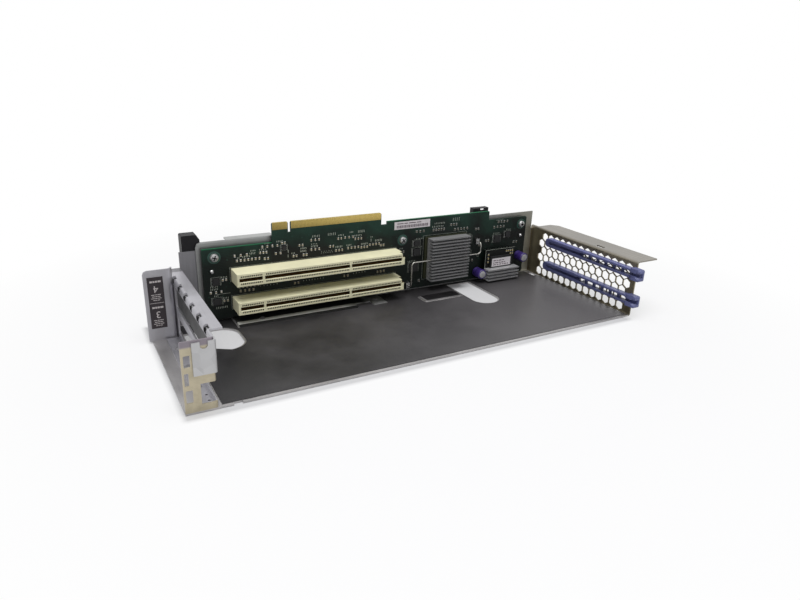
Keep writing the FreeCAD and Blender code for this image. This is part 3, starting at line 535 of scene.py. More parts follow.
def sheet_metal(name, tint, roughness, spangle, grain):
    """Zinc-coated sheet: spangle, rolling grain, cloudy handling marks and fine scratches."""
    finish = Finish(name, tint, metallic=0.9, roughness=roughness)
    dull = finish.noise(28, 4, 0.6)
    rolled = finish.noise(1.0, 2, 0.5, finish.stretched(*grain))
    crystal = finish.spread(finish.greyed(finish.cells(170)["Color"]), 0, 1, 0, spangle)
    spotted = finish.blend(crystal, finish.mottle(dull, 0.35, 0.65, tint, 0.86, 1.1), shade(tint, 1.35))
    finish.colour(finish.blend(finish.spread(rolled, 0.3, 0.75, 0.0, 0.35), spotted, shade(tint, 0.8)))
    both = finish.maths("ADD", finish.spread(rolled, 0.2, 0.8, -0.07, 0.09),
                      finish.spread(dull, 0.3, 0.7, -0.05, 0.07))
    finish.surface("Roughness", finish.maths("ADD", both, roughness))
    finish.bump(finish.maths("ADD", rolled, finish.noise(900, 2)), 0.012, 0.35)
    return finish


def plastic(name, tint, roughness, texture, gloss=0.45):
    """Moulded plastic: a fine spark-eroded skin and slight cloudiness of the colour."""
    finish = Finish(name, tint, roughness=roughness, gloss=gloss)
    finish.colour(finish.mottle(finish.noise(60, 3), 0.35, 0.65, tint, 0.93, 1.05))
    skin = finish.noise(texture, 2, 0.5)
    finish.roughen(skin, 0.25, 0.75, roughness - 0.06, roughness + 0.08)
    finish.bump(skin, 0.02, 0.3)
    return finish


def bright_metal(name, tint, roughness, scale=600):
    """Plated or drawn metal with a light haze."""
    finish = Finish(name, tint, metallic=1.0, roughness=roughness)
    haze = finish.noise(scale, 3)
    finish.colour(finish.mottle(haze, 0.3, 0.7, tint, 0.86, 1.08))
    finish.roughen(haze, 0.3, 0.7, roughness - 0.08, roughness + 0.1)
    finish.bump(haze, 0.01, 0.25)
    return finish


def paper(name, tint):
    finish = Finish(name, tint, roughness=0.62, gloss=0.3)
    fibre = finish.noise(700, 4, 0.7)
    finish.colour(finish.mottle(fibre, 0.35, 0.7, tint, 0.92, 1.03))
    finish.roughen(fibre, 0.3, 0.7, 0.55, 0.7)
    finish.bump(fibre, 0.01, 0.2)
    return finish


def film_finish(tint, far):
    """Smooth black film with faint ripples, dust and rubbed patches, a painted sheen towards its far end and
    painted shade near the board.
    """
    low, high = box_mm("insulator_film")
    finish = Finish("insulating_film", tint, roughness=0.42, gloss=0.5)
    patch = finish.noise(16, 4, 0.6)
    dust = finish.noise(1500, 2, 0.6)
    # Painted sheen: the film lightens towards its far end
    plain = finish.blend(finish.within(("X", low.x + 80, high.x)), tint, far)
    rubbed = finish.blend(finish.spread(patch, 0.4, 0.75, 0, 0.45), plain, shade(far, 1.15))
    finish.colour(finish.blend(finish.spread(dust, 0.62, 0.8, 0, 0.4), rubbed, shade(far, 1.5)))
    # Painted shade on the film near the board, under its parts
    finish.dull(0.2, ("Y", high.y - 34, high.y + 2))
    finish.roughen(patch, 0.3, 0.7, 0.34, 0.5)
    finish.bump(finish.noise(22, 2), 0.12, 0.25)
    return finish


def board_finish(name, tint, light, green_from=None, bare_edge=None):
    """Solder mask with copper runs, planes and small vias showing through it."""
    finish = Finish(name, tint, roughness=0.5, gloss=0.22)
    zone = finish.greyed(finish.cells(34, finish.stretched(0.55, 1, 1))["Color"])
    runs = []
    # Level and upright runs: the axis across them, their step in metres, the edge of a run and of its zone
    for letter, step, edge, zone_edge in (("Z", 0.0011, (0.1, 0.5), (0.42, 0.46)),
                                          ("X", 0.0014, (0.3, 0.6), (0.3, 0.26))):
        wave = finish.maths("SINE", finish.maths("MULTIPLY", finish.axis(letter), math.tau / step), 0)
        runs.append(finish.maths("MULTIPLY", finish.spread(wave, *edge), finish.spread(zone, *zone_edge)))
    copper = finish.maths("MAXIMUM", *runs)
    vias = finish.spread(finish.cells(260)["Distance"], 0.13, 0.1, 0, 0.7)
    base = tint
    if green_from:
        cloud = finish.spread(finish.noise(38, 3), 0.3, 0.7, -0.012, 0.012)
        height = finish.maths("ADD", finish.axis("Z"), cloud)
        base = finish.blend(finish.spread(height, *[place * MM for place in green_from], 0, 0.9), tint, light)
    lined = finish.blend(finish.maths("MULTIPLY", copper, 0.22), base, shade(light, 1.1))
    finish.colour(finish.blend(vias, lined, shade(light, 1.4)))
    if bare_edge:
        top = box_mm("riser_board")[1].z
        finish.tint_part(finish.within(("Z", top - 0.35, top - 0.25)), bare_edge)
        for edge_z, side in ((top - 6.9, ("X", 115, 118)), (top - 13.7, ("X", 30, 28))):
            finish.tint_part(finish.within(("Z", edge_z - 0.4, edge_z - 0.3), side), tone(22, 92, 60))
    finish.roughen(finish.noise(300, 2), 0.3, 0.7, 0.44, 0.56)
    finish.bump(copper, 0.03, 0.25)
    return finish


def aluminium(name, tint, node):
    """Extruded aluminium with lines along the fins, and painted light that makes it paler down between them.
    """
    deep = box_mm(node)[0].y + 0.6
    finish = Finish(name, tint, metallic=0.5, roughness=0.42)
    lines = finish.noise(1.0, 3, 0.6, finish.stretched(60, 1600, 1600))
    finish.colour(finish.mottle(lines, 0.3, 0.7, tint, 0.8, 1.1))
    # Painted light: paler behind the fins' front faces, down between the fins
    finish.tint_part(finish.within(("Y", deep - 0.4, deep)), shade(tint, 1.5))
    finish.roughen(lines, 0.3, 0.7, 0.36, 0.5)
    finish.bump(lines, 0.02, 0.4)
    return finish


def shelf_finish(tint, warm):
    """The slot wall's sheet: a painted warm reflection on its tab shelf and outer ribs, its rear wing duller.
    """
    low = box_mm("slot_bracket")[0]
    wall_x = low.x + 16
    shelf = ("Y", low.y + 1.7, low.y + 1.1)
    finish = sheet_metal("slot_wall_steel", tint, 0.44, 0.1, (600, 40, 40))
    # Painted warm reflection, mottled, on the tab shelf and on the outer ribs
    warm_reflection = finish.mottle(finish.noise(150, 4, 0.65), 0.35, 0.7, warm, 1, 0.8)
    for mask in (finish.within(shelf, ("Z", 38.5, 37.5)),
                 finish.within(("X", wall_x - 0.8, wall_x - 1.0), ("Y", -3.4, -3.0))):
        finish.tint_part(mask, warm_reflection)
    finish.dull((0.6, 0.54, 0.57, 1), shelf, ("Z", 37.5, 38.5))
    finish.dull(0.5, ("Y", -2.2, -1.4), ("X", wall_x - 0.9, wall_x - 0.6))
    top = box_mm("base_pan")[1].z - 1.5
    # Painted shade on the cut edges of the lip's slots, inside the sheet
    finish.dull(0.15, ("X", wall_x + 0.05, wall_x + 0.1), ("X", wall_x + 0.95, wall_x + 0.9),
                ("Z", top - 4.3, top - 4.2), ("Z", top - 1.7, top - 1.9))
    return finish


def filler_finish(tint):
    """Mottled zinc plate, with painted shade on the face that lies against the slot wall."""
    low, high = box_mm("filler_bracket")
    finish = sheet_metal("filler_zinc", tint, 0.5, 0.6, (60, 45, 45))
    # Painted shade on the face that lies against the slot wall
    finish.dull(0.12, ("X", high.x - 0.6, high.x - 0.8), ("Y", low.y + 2.4, low.y + 2.8))
    return finish


def pan_finish(tint, warm):
    """The pan's sheet: a warm, dull end wall, a darker flange, painted shadow on the bead and painted light
    in the flange's slit.
    """
    top = box_mm("base_pan")[1].z
    wall = box_mm("card_guide_lower")[1].x - 2.6
    past_wall = ("X", wall - 0.4, wall)
    finish = sheet_metal("pan_steel", tint, 0.4, 0.14, (700, 25, 25))
    dull = finish.mottle(finish.noise(90, 4, 0.6), 0.35, 0.7, warm, 1, 0.7)
    finish.tint_part(finish.within(past_wall, ("Z", top, top - 2)), dull)
    finish.dull(0.6, past_wall, ("Z", 20, 3))
    finish.dull((0.6, 0.58, 0.52, 1), ("Z", top - 2, top - 1))
    # Painted shadow: a dark patch on the bead's top, under the heat sink
    patch = finish.within(("Z", 1.45, 1.6), ("X", 142.8, 143.6), ("X", 176, 175.9),
                          ("Y", -25.8, -25.2), ("Y", -14.8, -14.9), ("Z", 1.9, 1.8))
    finish.tint_part(patch, tone(56, 54, 56))
    # Painted light: the inner faces of the flange's slit are made white
    painted_light_in_slit = finish.within(("X", wall + 1.9, wall + 2.1), ("X", wall + 6.1, wall + 5.8), ("Y", -75.3, -75.1),
                         ("Y", -66.7, -66.9), ("Z", top - 0.05, top - 0.15), ("Z", top - 2, top - 1.5))
    finish.tint_part(painted_light_in_slit, grey(1.0))
    return finish


def carrier_finish(tint):
    """The carrier's sheet: painted shade on its foot with a painted lit strip across it, a warmer far end
    with painted light low down, and a pale rim.
    """
    high = box_mm("board_carrier")[1]
    on_foot = ("Z", 2.6, 2.2)
    finish = sheet_metal("carrier_steel", tint, 0.44, 0.12, (25, 700, 700))
    # Painted shade on the foot, under the card slots
    finish.dull(0.16, on_foot, ("X", 100, 96))
    # Painted light: a pale, less metallic strip across the foot, where light reaches past the card slots
    painted_lit_strip = finish.within(("Y", -13.4, -12.8), ("Y", -8.0, -8.6), on_foot, ("X", 98, 80))
    finish.tint_part(painted_lit_strip, tone(216, 216, 210))
    finish.surface("Metallic", finish.spread(painted_lit_strip, 0, 1, 0.9, 0.1))
    finish.dull((0.9, 0.88, 0.78, 1), ("X", high.x - 40, high.x - 10))
    # Painted light: brighter low down at the far end
    finish.dull(1.6, ("X", high.x - 14, high.x - 4), ("Z", 50, 30))
    finish.dull(1.35, ("Z", high.z - 1.2, high.z - 0.9))
    return finish


def gold_finish(tint):
    """Gold-plated contacts, duller towards their left end and their roots."""
    low, high = box_mm("edge_contacts")
    finish = bright_metal("contact_gold", tint, 0.32, 900)
    finish.dull(0.62, ("X", low.x + 55, low.x))
    finish.dull(0.72, ("Z", high.z - 1.5, low.z))
    return finish


def guide_finish(tint):
    """Moulded guides, with a painted highlight along their upper edges, and paler at their mouths."""
    finish = plastic("guide_plastic", tint, 0.4, 1000, 0.5)
    for node in GUIDES:
        low, high = box_mm(node)
        rail_top = high.z - 0.9
        upper = finish.within(("Z", rail_top - 0.9, rail_top - 0.6), ("Z", rail_top + 1, rail_top + 0.8))
        # Painted highlight along the upper edge of each rail
        finish.tint_part(upper, shade(tint, 1.7))
    finish.tint_part(finish.within(("Y", low.y + 10, low.y + 8)), shade(tint, 1.25))
    return finish


FINISHES = {}
GUIDES = ("card_guide_lower", "card_guide_upper")
SLOTS = ("slot_connector_lower", "slot_connector_upper")
# Finishes with no marks of their own: key, kind, name, colour, share of it, then what the kind takes
PLAIN_FINISHES = (
    ("plate", sheet_metal, "label_plate_steel", "bracket", 1, 0.44, 0.1, (600, 40, 40)),
    ("spring", bright_metal, "spring_steel", "spring", 1, 0.28),
    ("ring", plastic, "mask_ring", "ring", 1, 0.34, 500, 0.55),
    # The contacts' gold is darkened by painted shade
    ("contact", bright_metal, "slot_contact", "contact", 1, 0.4, 900),
    ("cream", plastic, "slot_housing", "cream", 1, 0.48, 1200),
    # Painted shade inside the card gaps
    ("gap", plastic, "slot_housing_inside", "gap", 1, 0.6, 1200, 0.2),
    ("black", plastic, "latch_plastic", "black", 1, 0.5, 800, 0.25),
    ("chip", plastic, "chip_moulding", "chip", 1, 0.55, 1600),
    ("substrate", plastic, "chip_laminate", "substrate", 1, 0.5, 500),
    ("sink", aluminium, "sink_aluminium", "sink", 1, "heat_sink"),
    ("module_sink", aluminium, "module_sink_aluminium", "sink", 1.5, "module_sink"),
    ("can_top", plastic, "capacitor_top", "can_top", 1, 0.4, 400),
    ("edge", plastic, "laminate_edge", "edge", 1, 0.55, 700),
    ("rivet", plastic, "rivet_steel", "rivets", 1, 0.5, 700),
    ("dim", plastic, "capacitor_ceramic_dark", "ceramic", 0.35, 0.5, 1500),
    ("sleeve", plastic, "capacitor_sleeve", "sleeve", 1, 0.32, 300, 0.6),
    ("ceramic", plastic, "capacitor_ceramic", "ceramic", 1, 0.5, 1500),
    ("tin", bright_metal, "tinned_metal", "tin", 1, 0.3, 1200),
    ("screw", bright_metal, "screw_steel", "tin", 0.85, 0.42, 700),
    ("label", paper, "label_paper", "label", 1),
    ("label_ink", paper, "label_print", "label_ink", 1),
    ("dark_label", plastic, "label_ground", "dark_label", 1, 0.5, 900),
    ("ink", paper, "label_ink", "ink", 1),
    ("mark", paper, "board_print", "mark", 1),
)
NODES_IN = {
    "pan": "base_pan", "wall": "slot_bracket", "plate": "label_plate", "carrier": "board_carrier",
    "zinc": "filler_bracket", "rivet": "sheet_rivets",
    "spring": "contact_strip_upper contact_strip_lower sink_clip", "film": "insulator_film",
    "board": "riser_board", "module": "module_board", "gold": "edge_contacts",
    "cream": "slot_connector_lower slot_connector_upper", "guide": "card_guide_lower card_guide_upper",
    "black": "locator_left locator_right", "chip": "module_chip small_chips", "substrate": "bridge_chip",
    "sink": "heat_sink", "module_sink": "module_sink", "sleeve": "capacitor_left capacitor_right",
    "ceramic": "chip_capacitors", "tin": "clip_anchors module_pins locating_pins",
    "screw": "board_screws board_spacers", "label": "module_label board_label", "dark_label": "slot_label",
}
NODE_FINISH = {node: finish for finish, nodes in NODES_IN.items() for node in nodes.split()}


def make_finishes():
    """Every finish, by the name it is used under."""
    group = bpy.context.scene.riser_colours
    tints = {name: tuple(getattr(group, name)) for name in RiserColours.__annotations__}
    made = {
        "pan": pan_finish(tints["pan"], tints["end_wall"]),
        "wall": shelf_finish(tints["bracket"], tints["shelf"]),
        "carrier": carrier_finish(tints["carrier"]),
        "zinc": filler_finish(tints["zinc"]),
        "film": film_finish(tints["film"], tints["film_far"]),
        "board": board_finish("riser_board_mask", tints["board"], tints["board_light"],
                              green_from=(44, 62), bare_edge=tints["edge"]),
        "module": board_finish("module_board_mask", tints["module"], shade(tints["module"], 1.5)),
        "gold": gold_finish(tints["gold"]),
        "guide": guide_finish(tints["guide"]),
    }
    for key, kind, name, tint, share, *looks in PLAIN_FINISHES:
        made[key] = kind(name, shade(tints[tint], share), *looks)
    return {name: finish.material for name, finish in made.items()}


class RISER_OT_finishes(bpy.types.Operator):
    """Makes the finishes and puts them on the CAD parts."""
    bl_idname = "riser.finishes"
    bl_label = "Finishes"

    def execute(self, context):
        FINISHES.update(make_finishes())
        for name, part in NODES.items():
            for place in part.material_slots:
                place.material = FINISHES[NODE_FINISH[name]]
        return {"FINISHED"}


# Card slots, which lie along X with their mouths towards -Y and their middle at Z = 0 until they are copied

def slot_length(name, low_x, high_x, half_z, front, cuts):
    """A length of housing in edit mode, cut along the card gap and the windows, and across it."""
    sizes = bpy.context.scene.riser_sizes
    half_gap, near, far = [size / MM for size in (sizes.card_gap / 2, sizes.window_from, sizes.window_to)]
    part = block(name, (low_x, front, -half_z), (high_x, 0, half_z))
    edit(part)
    slice_at(2, (-far, -near, -half_gap, half_gap, near, far))
    slice_at(0, cuts)
    return part


def sink_gap(part, spans):
    """Sinks the card gap over spans of X."""
    sizes = bpy.context.scene.riser_sizes

    def in_gap(middle, normal):
        inside = any(a < middle.x < b for a, b in spans)
        return faces_front(middle, normal) and inside and abs(middle.z) < sizes.card_gap / MM / 2

    pick_faces(part, in_gap)
    push(0, sizes.gap_depth / MM, 0)


def slot_section(name, low_x, high_x, half_z, front, gap_from, gap_to):
    """A plain length of housing, with the card gap over part of it."""
    cuts = [place for place in (gap_from, gap_to) if low_x < place < high_x]
    part = slot_length(name, low_x, high_x, half_z, front, cuts)
    sink_gap(part, [(gap_from, gap_to)] if gap_from < gap_to else [(low_x, gap_to), (gap_from, high_x)])
    leave_editing()
    return part


def slot_cell(half_z, front):
    """One contact's length of housing: card gap, and a window each side of it."""
    sizes = bpy.context.scene.riser_sizes
    pitch = sizes.contact_pitch / MM
    margin = (pitch - sizes.contact_window / MM) / 2
    cell = slot_length("slot_cell", 0, pitch, half_z, front, (margin, pitch - margin))
    sink_gap(cell, [(0, pitch)])

    def in_window(middle, normal):
        beside = sizes.window_from / MM < abs(middle.z) < sizes.window_to / MM
        return (faces_front(middle, normal) and middle.y < front + 0.1 and beside
                and margin < middle.x < pitch - margin)

    pick_faces(cell, in_window)
    push(0, sizes.window_depth / MM, 0)
    leave_editing()
    return open_ends(cell, (0, pitch))


def slot_contact(front):
    """A bowed contact spring in the wall of the card gap."""
    bow_from, bow_to = front + 3.2, front + 4.6
    blade = block("slot_contact", (0.4, front + 2.0, 0.75), (0.87, front + 8.0, 1.12))
    edit(blade)
    slice_at(1, (bow_from, bow_to))
    pick_faces(blade, lambda middle, normal: normal.z < -0.5 and bow_from < middle.y < bow_to)
    push(0, 0, -0.22)
    leave_editing()
    return blade


def open_ends(part, places):
    """Takes away the faces where two lengths of housing meet."""
    edit(part)
    pick_faces(part, lambda middle, normal: abs(normal.x) > 0.5
               and any(abs(middle.x - place) < TOUCH for place in places))
    bpy.ops.mesh.delete(type="FACE")
    leave_editing()
    return part


def slot_housing(sizes, front, half_z, long, runs, keys):
    """The whole housing, from lengths with contacts and the plain lengths between them."""
    left_wall, right_wall, corner_notch, lead_in, rounding = 1.6, 2.6, 2.2, 0.35, 0.3
    pitch = sizes.contact_pitch / MM
    rib = sizes.key_width / MM / 2
    cell = slot_cell(half_z, front)
    parts = [row_of(copy_at(cell, start, 0, 0), count, pitch) for start, count in runs]
    discard(cell)
    joints = [place for start, count in runs for place in (start, start + count * pitch)]
    for name, low_x, high_x, gap_from, gap_to in (
            ("left_end", 0, joints[0], left_wall, joints[0]),
            ("near_key", joints[1], joints[2], keys[0] + rib, keys[0] - rib),
            ("far_key", joints[3], joints[4], keys[1] + rib, keys[1] - rib),
            ("right_end", joints[5], long, joints[5], long - right_wall)):
        parts.append(slot_section(name, low_x, high_x, half_z, front, gap_from, gap_to))
    carve(parts[-1], block("notch", (long - corner_notch, front - 1, 1.6), (long + 1, front + 5, half_z + 1)))
    for part in parts:
        open_ends(part, joints)
    housing = weld(gather("slot_housing", parts), TOUCH)
    edit(housing, "VERT")
    bpy.ops.mesh.select_all(action="SELECT")
    bpy.ops.mesh.fill_holes(sides=4)
    bpy.ops.mesh.normals_make_consistent(inside=False)

    def mouth(a, b):
        return all(abs(end.y - front) < TOUCH and abs(abs(end.z) - sizes.card_gap / MM / 2) < TOUCH
                   for end in (a, b))

    pick_edges(housing, mouth)
    bpy.ops.mesh.bevel(offset=lead_in * MM, segments=1, affect="EDGES")

    def outside(a, b):
        spots = [(abs(end.y - front) < TOUCH, abs(abs(end.z) - half_z) < TOUCH,
                  end.x < TOUCH, end.x > long - TOUCH) for end in (a, b)]
        return sum(1 for one, other in zip(*spots) if one and other) >= 2 and a.y < -0.1

    pick_edges(housing, outside)
    bpy.ops.mesh.bevel(offset=rounding * MM, segments=2, affect="EDGES")
    leave_editing()
    return housing


class RISER_OT_card_slots(bpy.types.Operator):
    """Models the housing of a card slot with its contacts, once, and copies it."""
    bl_idname = "riser.card_slots"
    bl_label = "Card slots"

    def execute(self, context):
        sizes = context.scene.riser_sizes
        low, high = box_mm(SLOTS[0])
        pitch = sizes.contact_pitch / MM
        keys = (18.29, 83.06)
        runs = ((2.2, 12), (keys[0] + pitch, 49), (keys[1] + pitch, 32))
        housing = slot_housing(sizes, low.y, (high.z - low.z) / 2, high.x, runs, keys)
        dress(housing, "cream", "gap")
        # Faces deep in the card gap and its windows take the darker finish: painted shade
        for face in housing.data.polygons:
            middle = face.center / MM
            deep = low.y + 0.7 < middle.y < -3 and low.x + 0.5 < middle.x < high.x - 0.5
            if deep and abs(middle.z) < sizes.window_to / MM + TOUCH:
                face.material_index = 1
        blade = slot_contact(low.y)
        pair = (blade, mirrored(blade, (1, 1, -1)))
        blades = [row_of(copy_at(one, start, 0, 0), count, pitch) for start, count in runs for one in pair]
        for number, node in enumerate(SLOTS, 1):
            centre = middle_of(*box_mm(node))[2]
            body = copy_at(housing, 0, 0, centre)
            body.name = f"card_slot_{number}"
            hand_over(body, None, "connector_cream", node)
            springs = gather(f"slot_contacts_{number}", [copy_at(one, 0, 0, centre) for one in blades])
            hand_over(springs, "contact", "gold")
        discard(housing, *pair, *blades)
        return {"FINISHED"}


class RISER_OT_edge_pads(bpy.types.Operator):
    """Models a contact pad of the plug-in edge with eased edges, and copies it along both faces."""
    bl_idname = "riser.edge_pads"
    bl_label = "Edge contact pads"

    def execute(self, context):
        places = solids_of("edge_contacts")
        low, high = places[0]
        half = context.scene.riser_sizes.pad_width / MM / 2
        pad = soften(block("pad", (-half, 0, low.z), (half, 0.05, high.z + 0.1)), 0.02, 1)
        pads = [copy_at(pad, middle_of(a, b)[0], min(a.y, b.y), 0) for a, b in places]
        discard(pad)
        hand_over(gather("edge_pads", pads), "gold", "gold", "edge_contacts")
        return {"FINISHED"}


class RISER_OT_latch(bpy.types.Operator):
    """Models the right latch block: rounded edges, hollow behind, with a window above the board."""
    bl_idname = "riser.latch"
    bl_label = "Right latch block"

    def execute(self, context):
        wall, roof, hollow_depth = 1, 0.5, 4.4
        low, high = box_mm("locator_right")
        latch = block("latch_block", low, high)
        carve(latch, block("hollow", (low.x + wall, low.y + wall, high.z - hollow_depth),
                           (high.x - wall, high.y + 1, high.z - roof)))
        carve(latch, block("window", (low.x + 7.0, low.y - 1, high.z - 1.75),
                           (low.x + 10.8, high.y + 1, high.z - 0.55)))
        smooth(soften(latch, 0.3, 2, 60))
        hand_over(latch, "black", "block_black", "locator_right")
        return {"FINISHED"}


class RISER_OT_guides(bpy.types.Operator):
    """Widens the groove of each card guide towards its mouth, where the grille shows through it."""
    bl_idname = "riser.guides"
    bl_label = "Card guides"

    def execute(self, context):
        half = context.scene.riser_sizes.guide_opening / MM / 2
        flare_long, wide_to, window_step, window_long = 10.2, -60, 8.4, 6
        for node in GUIDES:
            low, high = box_mm(node)
            guide = bpy.data.objects.new(f"{node}_open", NODES[node].data.copy())
            context.scene.collection.objects.link(guide)
            weld(guide)
            face = high.x - 2.2
            middle = (low.z + high.z) / 2
            carve(guide, block("groove", (low.x - 1, low.y + flare_long, middle - half),
                               (face - 1.2, wide_to, middle + half)))
            for i in range(6):
                start = wide_to - window_step * i
                carve(guide, block("window", (face - 2, start - window_long, middle - half),
                                   (face + 0.3, start, middle + half)))
            smooth(guide, 30)
            hand_over(guide, "guide", "guide_blue", node)
        return {"FINISHED"}


class RISER_OT_capacitors(bpy.types.Operator):
    """Models the two can capacitors: sleeve, crimped foot and scored top."""
    bl_idname = "riser.capacitors"
    bl_label = "Capacitors"

    def execute(self, context):
        for side in ("left", "right"):
            node = f"capacitor_{side}"
            low, high = box_mm(node)
            x, _, z = middle_of(low, high)
            radius = (high.x - low.x) / 2
            end = low.y
            sleeve = turned(f"can_sleeve_{side}",
                            [(0, -0.1), (radius - 0.5, 0), (radius, -0.5), (radius, -1.9),
                             (radius - 0.3, -2.3), (radius - 0.3, -2.8), (radius, -3.2), (radius, end + 0.9),
                             (radius - 0.15, end + 0.35), (radius - 0.6, end + 0.05),
                             (radius - 1.0, end + 0.12), (radius - 1.05, end + 0.6), (0, end + 0.7)],
                            (x, 0, z), 40)
            hand_over(smooth(sleeve, 50), "sleeve", "sleeve_purple", node)
            top = turned(f"can_top_{side}",
                         [(0, end + 0.65), (radius - 1.02, end + 0.65), (radius - 1.02, end + 0.16),
                          (radius - 1.25, end + 0.04), (0, end)],
                         (x, 0, z), 40)
            for degrees in (45, 135):
                score = block("score", (-radius + 1.6, end - 1, -0.14), (radius - 1.6, end + 0.14, 0.14))
                carve(top, shift(turn(score, degrees), x, 0, z))
            hand_over(smooth(top, 30), "can_top", "tinned_steel")
        return {"FINISHED"}


class RISER_OT_board_screws(bpy.types.Operator):
    """Models a board screw with a rounded head and a cross recess, and copies it."""
    bl_idname = "riser.board_screws"
    bl_label = "Board screws"

    def execute(self, context):
        radius = context.scene.riser_sizes.screw_head / MM
        ring = context.scene.riser_sizes.pad_ring / MM
        reach, half = 1.9, 0.42  # of the cross recess
        screw = turned("screw", [(0, -2.2), (radius * 0.6, -2.16), (radius * 0.84, -1.85),
                                 (radius * 0.96, -1.2), (radius, -0.6), (radius, 0), (1.5, 0), (1.5, 4.0),
                                 (0, 4.0)], (0, 0, 0), 32)
        for x, z in ((reach, half), (half, reach)):
            carve(screw, block("recess", (-x, -3, -z), (x, -0.9, z)))
        # The cross recess takes the black plastic finish: painted shade in the recess
        dress(screw, "screw", "black")
        for face in screw.data.polygons:
            middle = face.center / MM
            if -1.9 < middle.y < -0.7 and max(abs(middle.x), abs(middle.z)) < reach + 0.05:
                face.material_index = 1
        smooth(screw, 35)
        screws = []
        pads = []
        for number, corners in enumerate(solids_of("board_screws")):
            x, _, z = middle_of(*corners)
            screws.append(shift(turn(copy_at(screw, 0, 0, 0), 20 + 31 * number), x, 0, z))
            pads.append(turned("pad", [(0, -0.03), (ring - 0.1, -0.03), (ring, 0), (0, 0)], (x, 0, z), 40))
        discard(screw)
        hand_over(gather("screw_heads", screws), None, "screw_steel", "board_screws")
        hand_over(gather("screw_pads", pads), "ring", "board_green")
        return {"FINISHED"}


# Parts soldered to the board

# Rows of chip parts besides those of the CAD part: X, Z, how many, step
EXTRA_CAPACITORS = (
    (20.4, 46.4, 3, 2.2), (36.2, 51.6, 2, 2), (23.4, 41.8, 2, 2.4), (49, 48.6, 2, 2.4),
    (72.6, 45.2, 2, 2.4), (79, 50.4, 2, 2.4), (92.8, 48.8, 3, 2.5), (98, 41.8, 3, 2.4),
    (77.2, 41.6, 3, 2.5), (114.4, 41.6, 2, 2.3), (44.4, 41.2, 2, 2.2), (52, 41.2, 2, 2.2),
    (5.4, 20.6, 4, 3), (45, 20.8, 2, 2.6), (84, 21, 2, 2.8), (112, 20.6, 3, 2.8), (-6.4, 30.2, 2, 2.3),
    (-6.2, 15.2, 2, 2.3), (150, 8, 1, 2.8), (161.4, 48.8, 5, 2.5), (178, 51.6, 3, 2.6),
    (207.4, 31.4, 1, 2.2), (244.4, 30.4, 2, 3), (226, 49.6, 4, 3.1), (132, 34, 2, 2.6),
    (131.4, 24, 2, 2.4), (131, 9, 2, 2.6), (214.4, 34.4, 2, 2.6), (203, 45.6, 2, 2.6),
)
# Rows of printed ticks: X, Z, how many, step, height
TICKS = (
    (8.4, 45, 5, 1.2, 1.1), (13.6, 46.7, 4, 1.1, 1.3), (14.2, 48.8, 4, 1, 1), (4.8, 44.8, 2, 1.1, 0.9),
    (20.6, 48.8, 4, 1.4, 1), (24.2, 53, 4, 1, 0.4), (33, 53.2, 4, 1.2, 1.2), (40.8, 41.4, 1, 1, 2.2),
    (41, 44.8, 1, 1, 2.2), (43.6, 43.6, 3, 1, 1), (50.2, 44.2, 5, 1, 1.2), (50.4, 46.2, 5, 1, 1.2),
    (59.4, 54, 5, 1.3, 1.5), (58.4, 46.8, 5, 1.2, 1.4), (58.6, 48.8, 4, 1.3, 0.8),
    (71.6, 54.2, 5, 1.4, 1.8), (66.2, 41.4, 6, 1.7, 0.5), (66.4, 42.6, 5, 1.9, 0.4),
    (79.6, 52.9, 4, 1.3, 1.2), (77.6, 44.2, 5, 1.2, 1.4), (86.4, 44.8, 4, 1.1, 1), (89, 54.4, 3, 1.1, 1.2),
    (95.8, 54, 5, 1.2, 1.8), (93, 51.3, 5, 1.3, 1.3), (98.4, 44.2, 5, 1.2, 1.4), (106.4, 46, 1, 1, 2.2),
    (106.2, 49.2, 2, 1.1, 0.9), (110.2, 45.6, 5, 1.3, 1.6), (-6.6, 32.5, 4, 1.1, 1),
    (-14.4, 24.3, 5, 1.1, 1.3), (-14.4, 26.2, 5, 1.1, 1.2), (-12.2, 19.6, 3, 1.1, 0.9),
    (-6.4, 17.4, 4, 1.1, 1), (-11.4, 10.6, 7, 1.2, 1.4), (5.2, 27, 9, 2.7, 0.8), (52, 27.2, 7, 2.4, 0.7),
    (84, 27, 6, 2.6, 0.8), (52, 22, 8, 2.2, 0.8), (92, 22.4, 5, 2.4, 0.8), (20, 22.6, 6, 2.4, 0.7),
    (41, 27.4, 5, 1.6, 0.7), (161, 51.4, 7, 1.6, 1.4), (163, 54, 7, 1.5, 1.3), (180.2, 55.2, 4, 1.9, 2.6),
    (146.4, 43.4, 5, 1.5, 0.9), (145.6, 36.9, 5, 1.5, 0.7), (195, 42, 4, 1.2, 1), (222.4, 40.2, 5, 1.4, 1),
    (236, 42.4, 4, 1.3, 1), (224, 51.7, 6, 1.3, 0.6), (131.6, 37, 3, 1.2, 1), (139.6, 25.8, 5, 1.5, 0.8),
    (206.8, 22, 2, 1.3, 1),
)
EXTRA_PLACES = [(x + i * step, z) for x, z, count, step in EXTRA_CAPACITORS for i in range(count)]


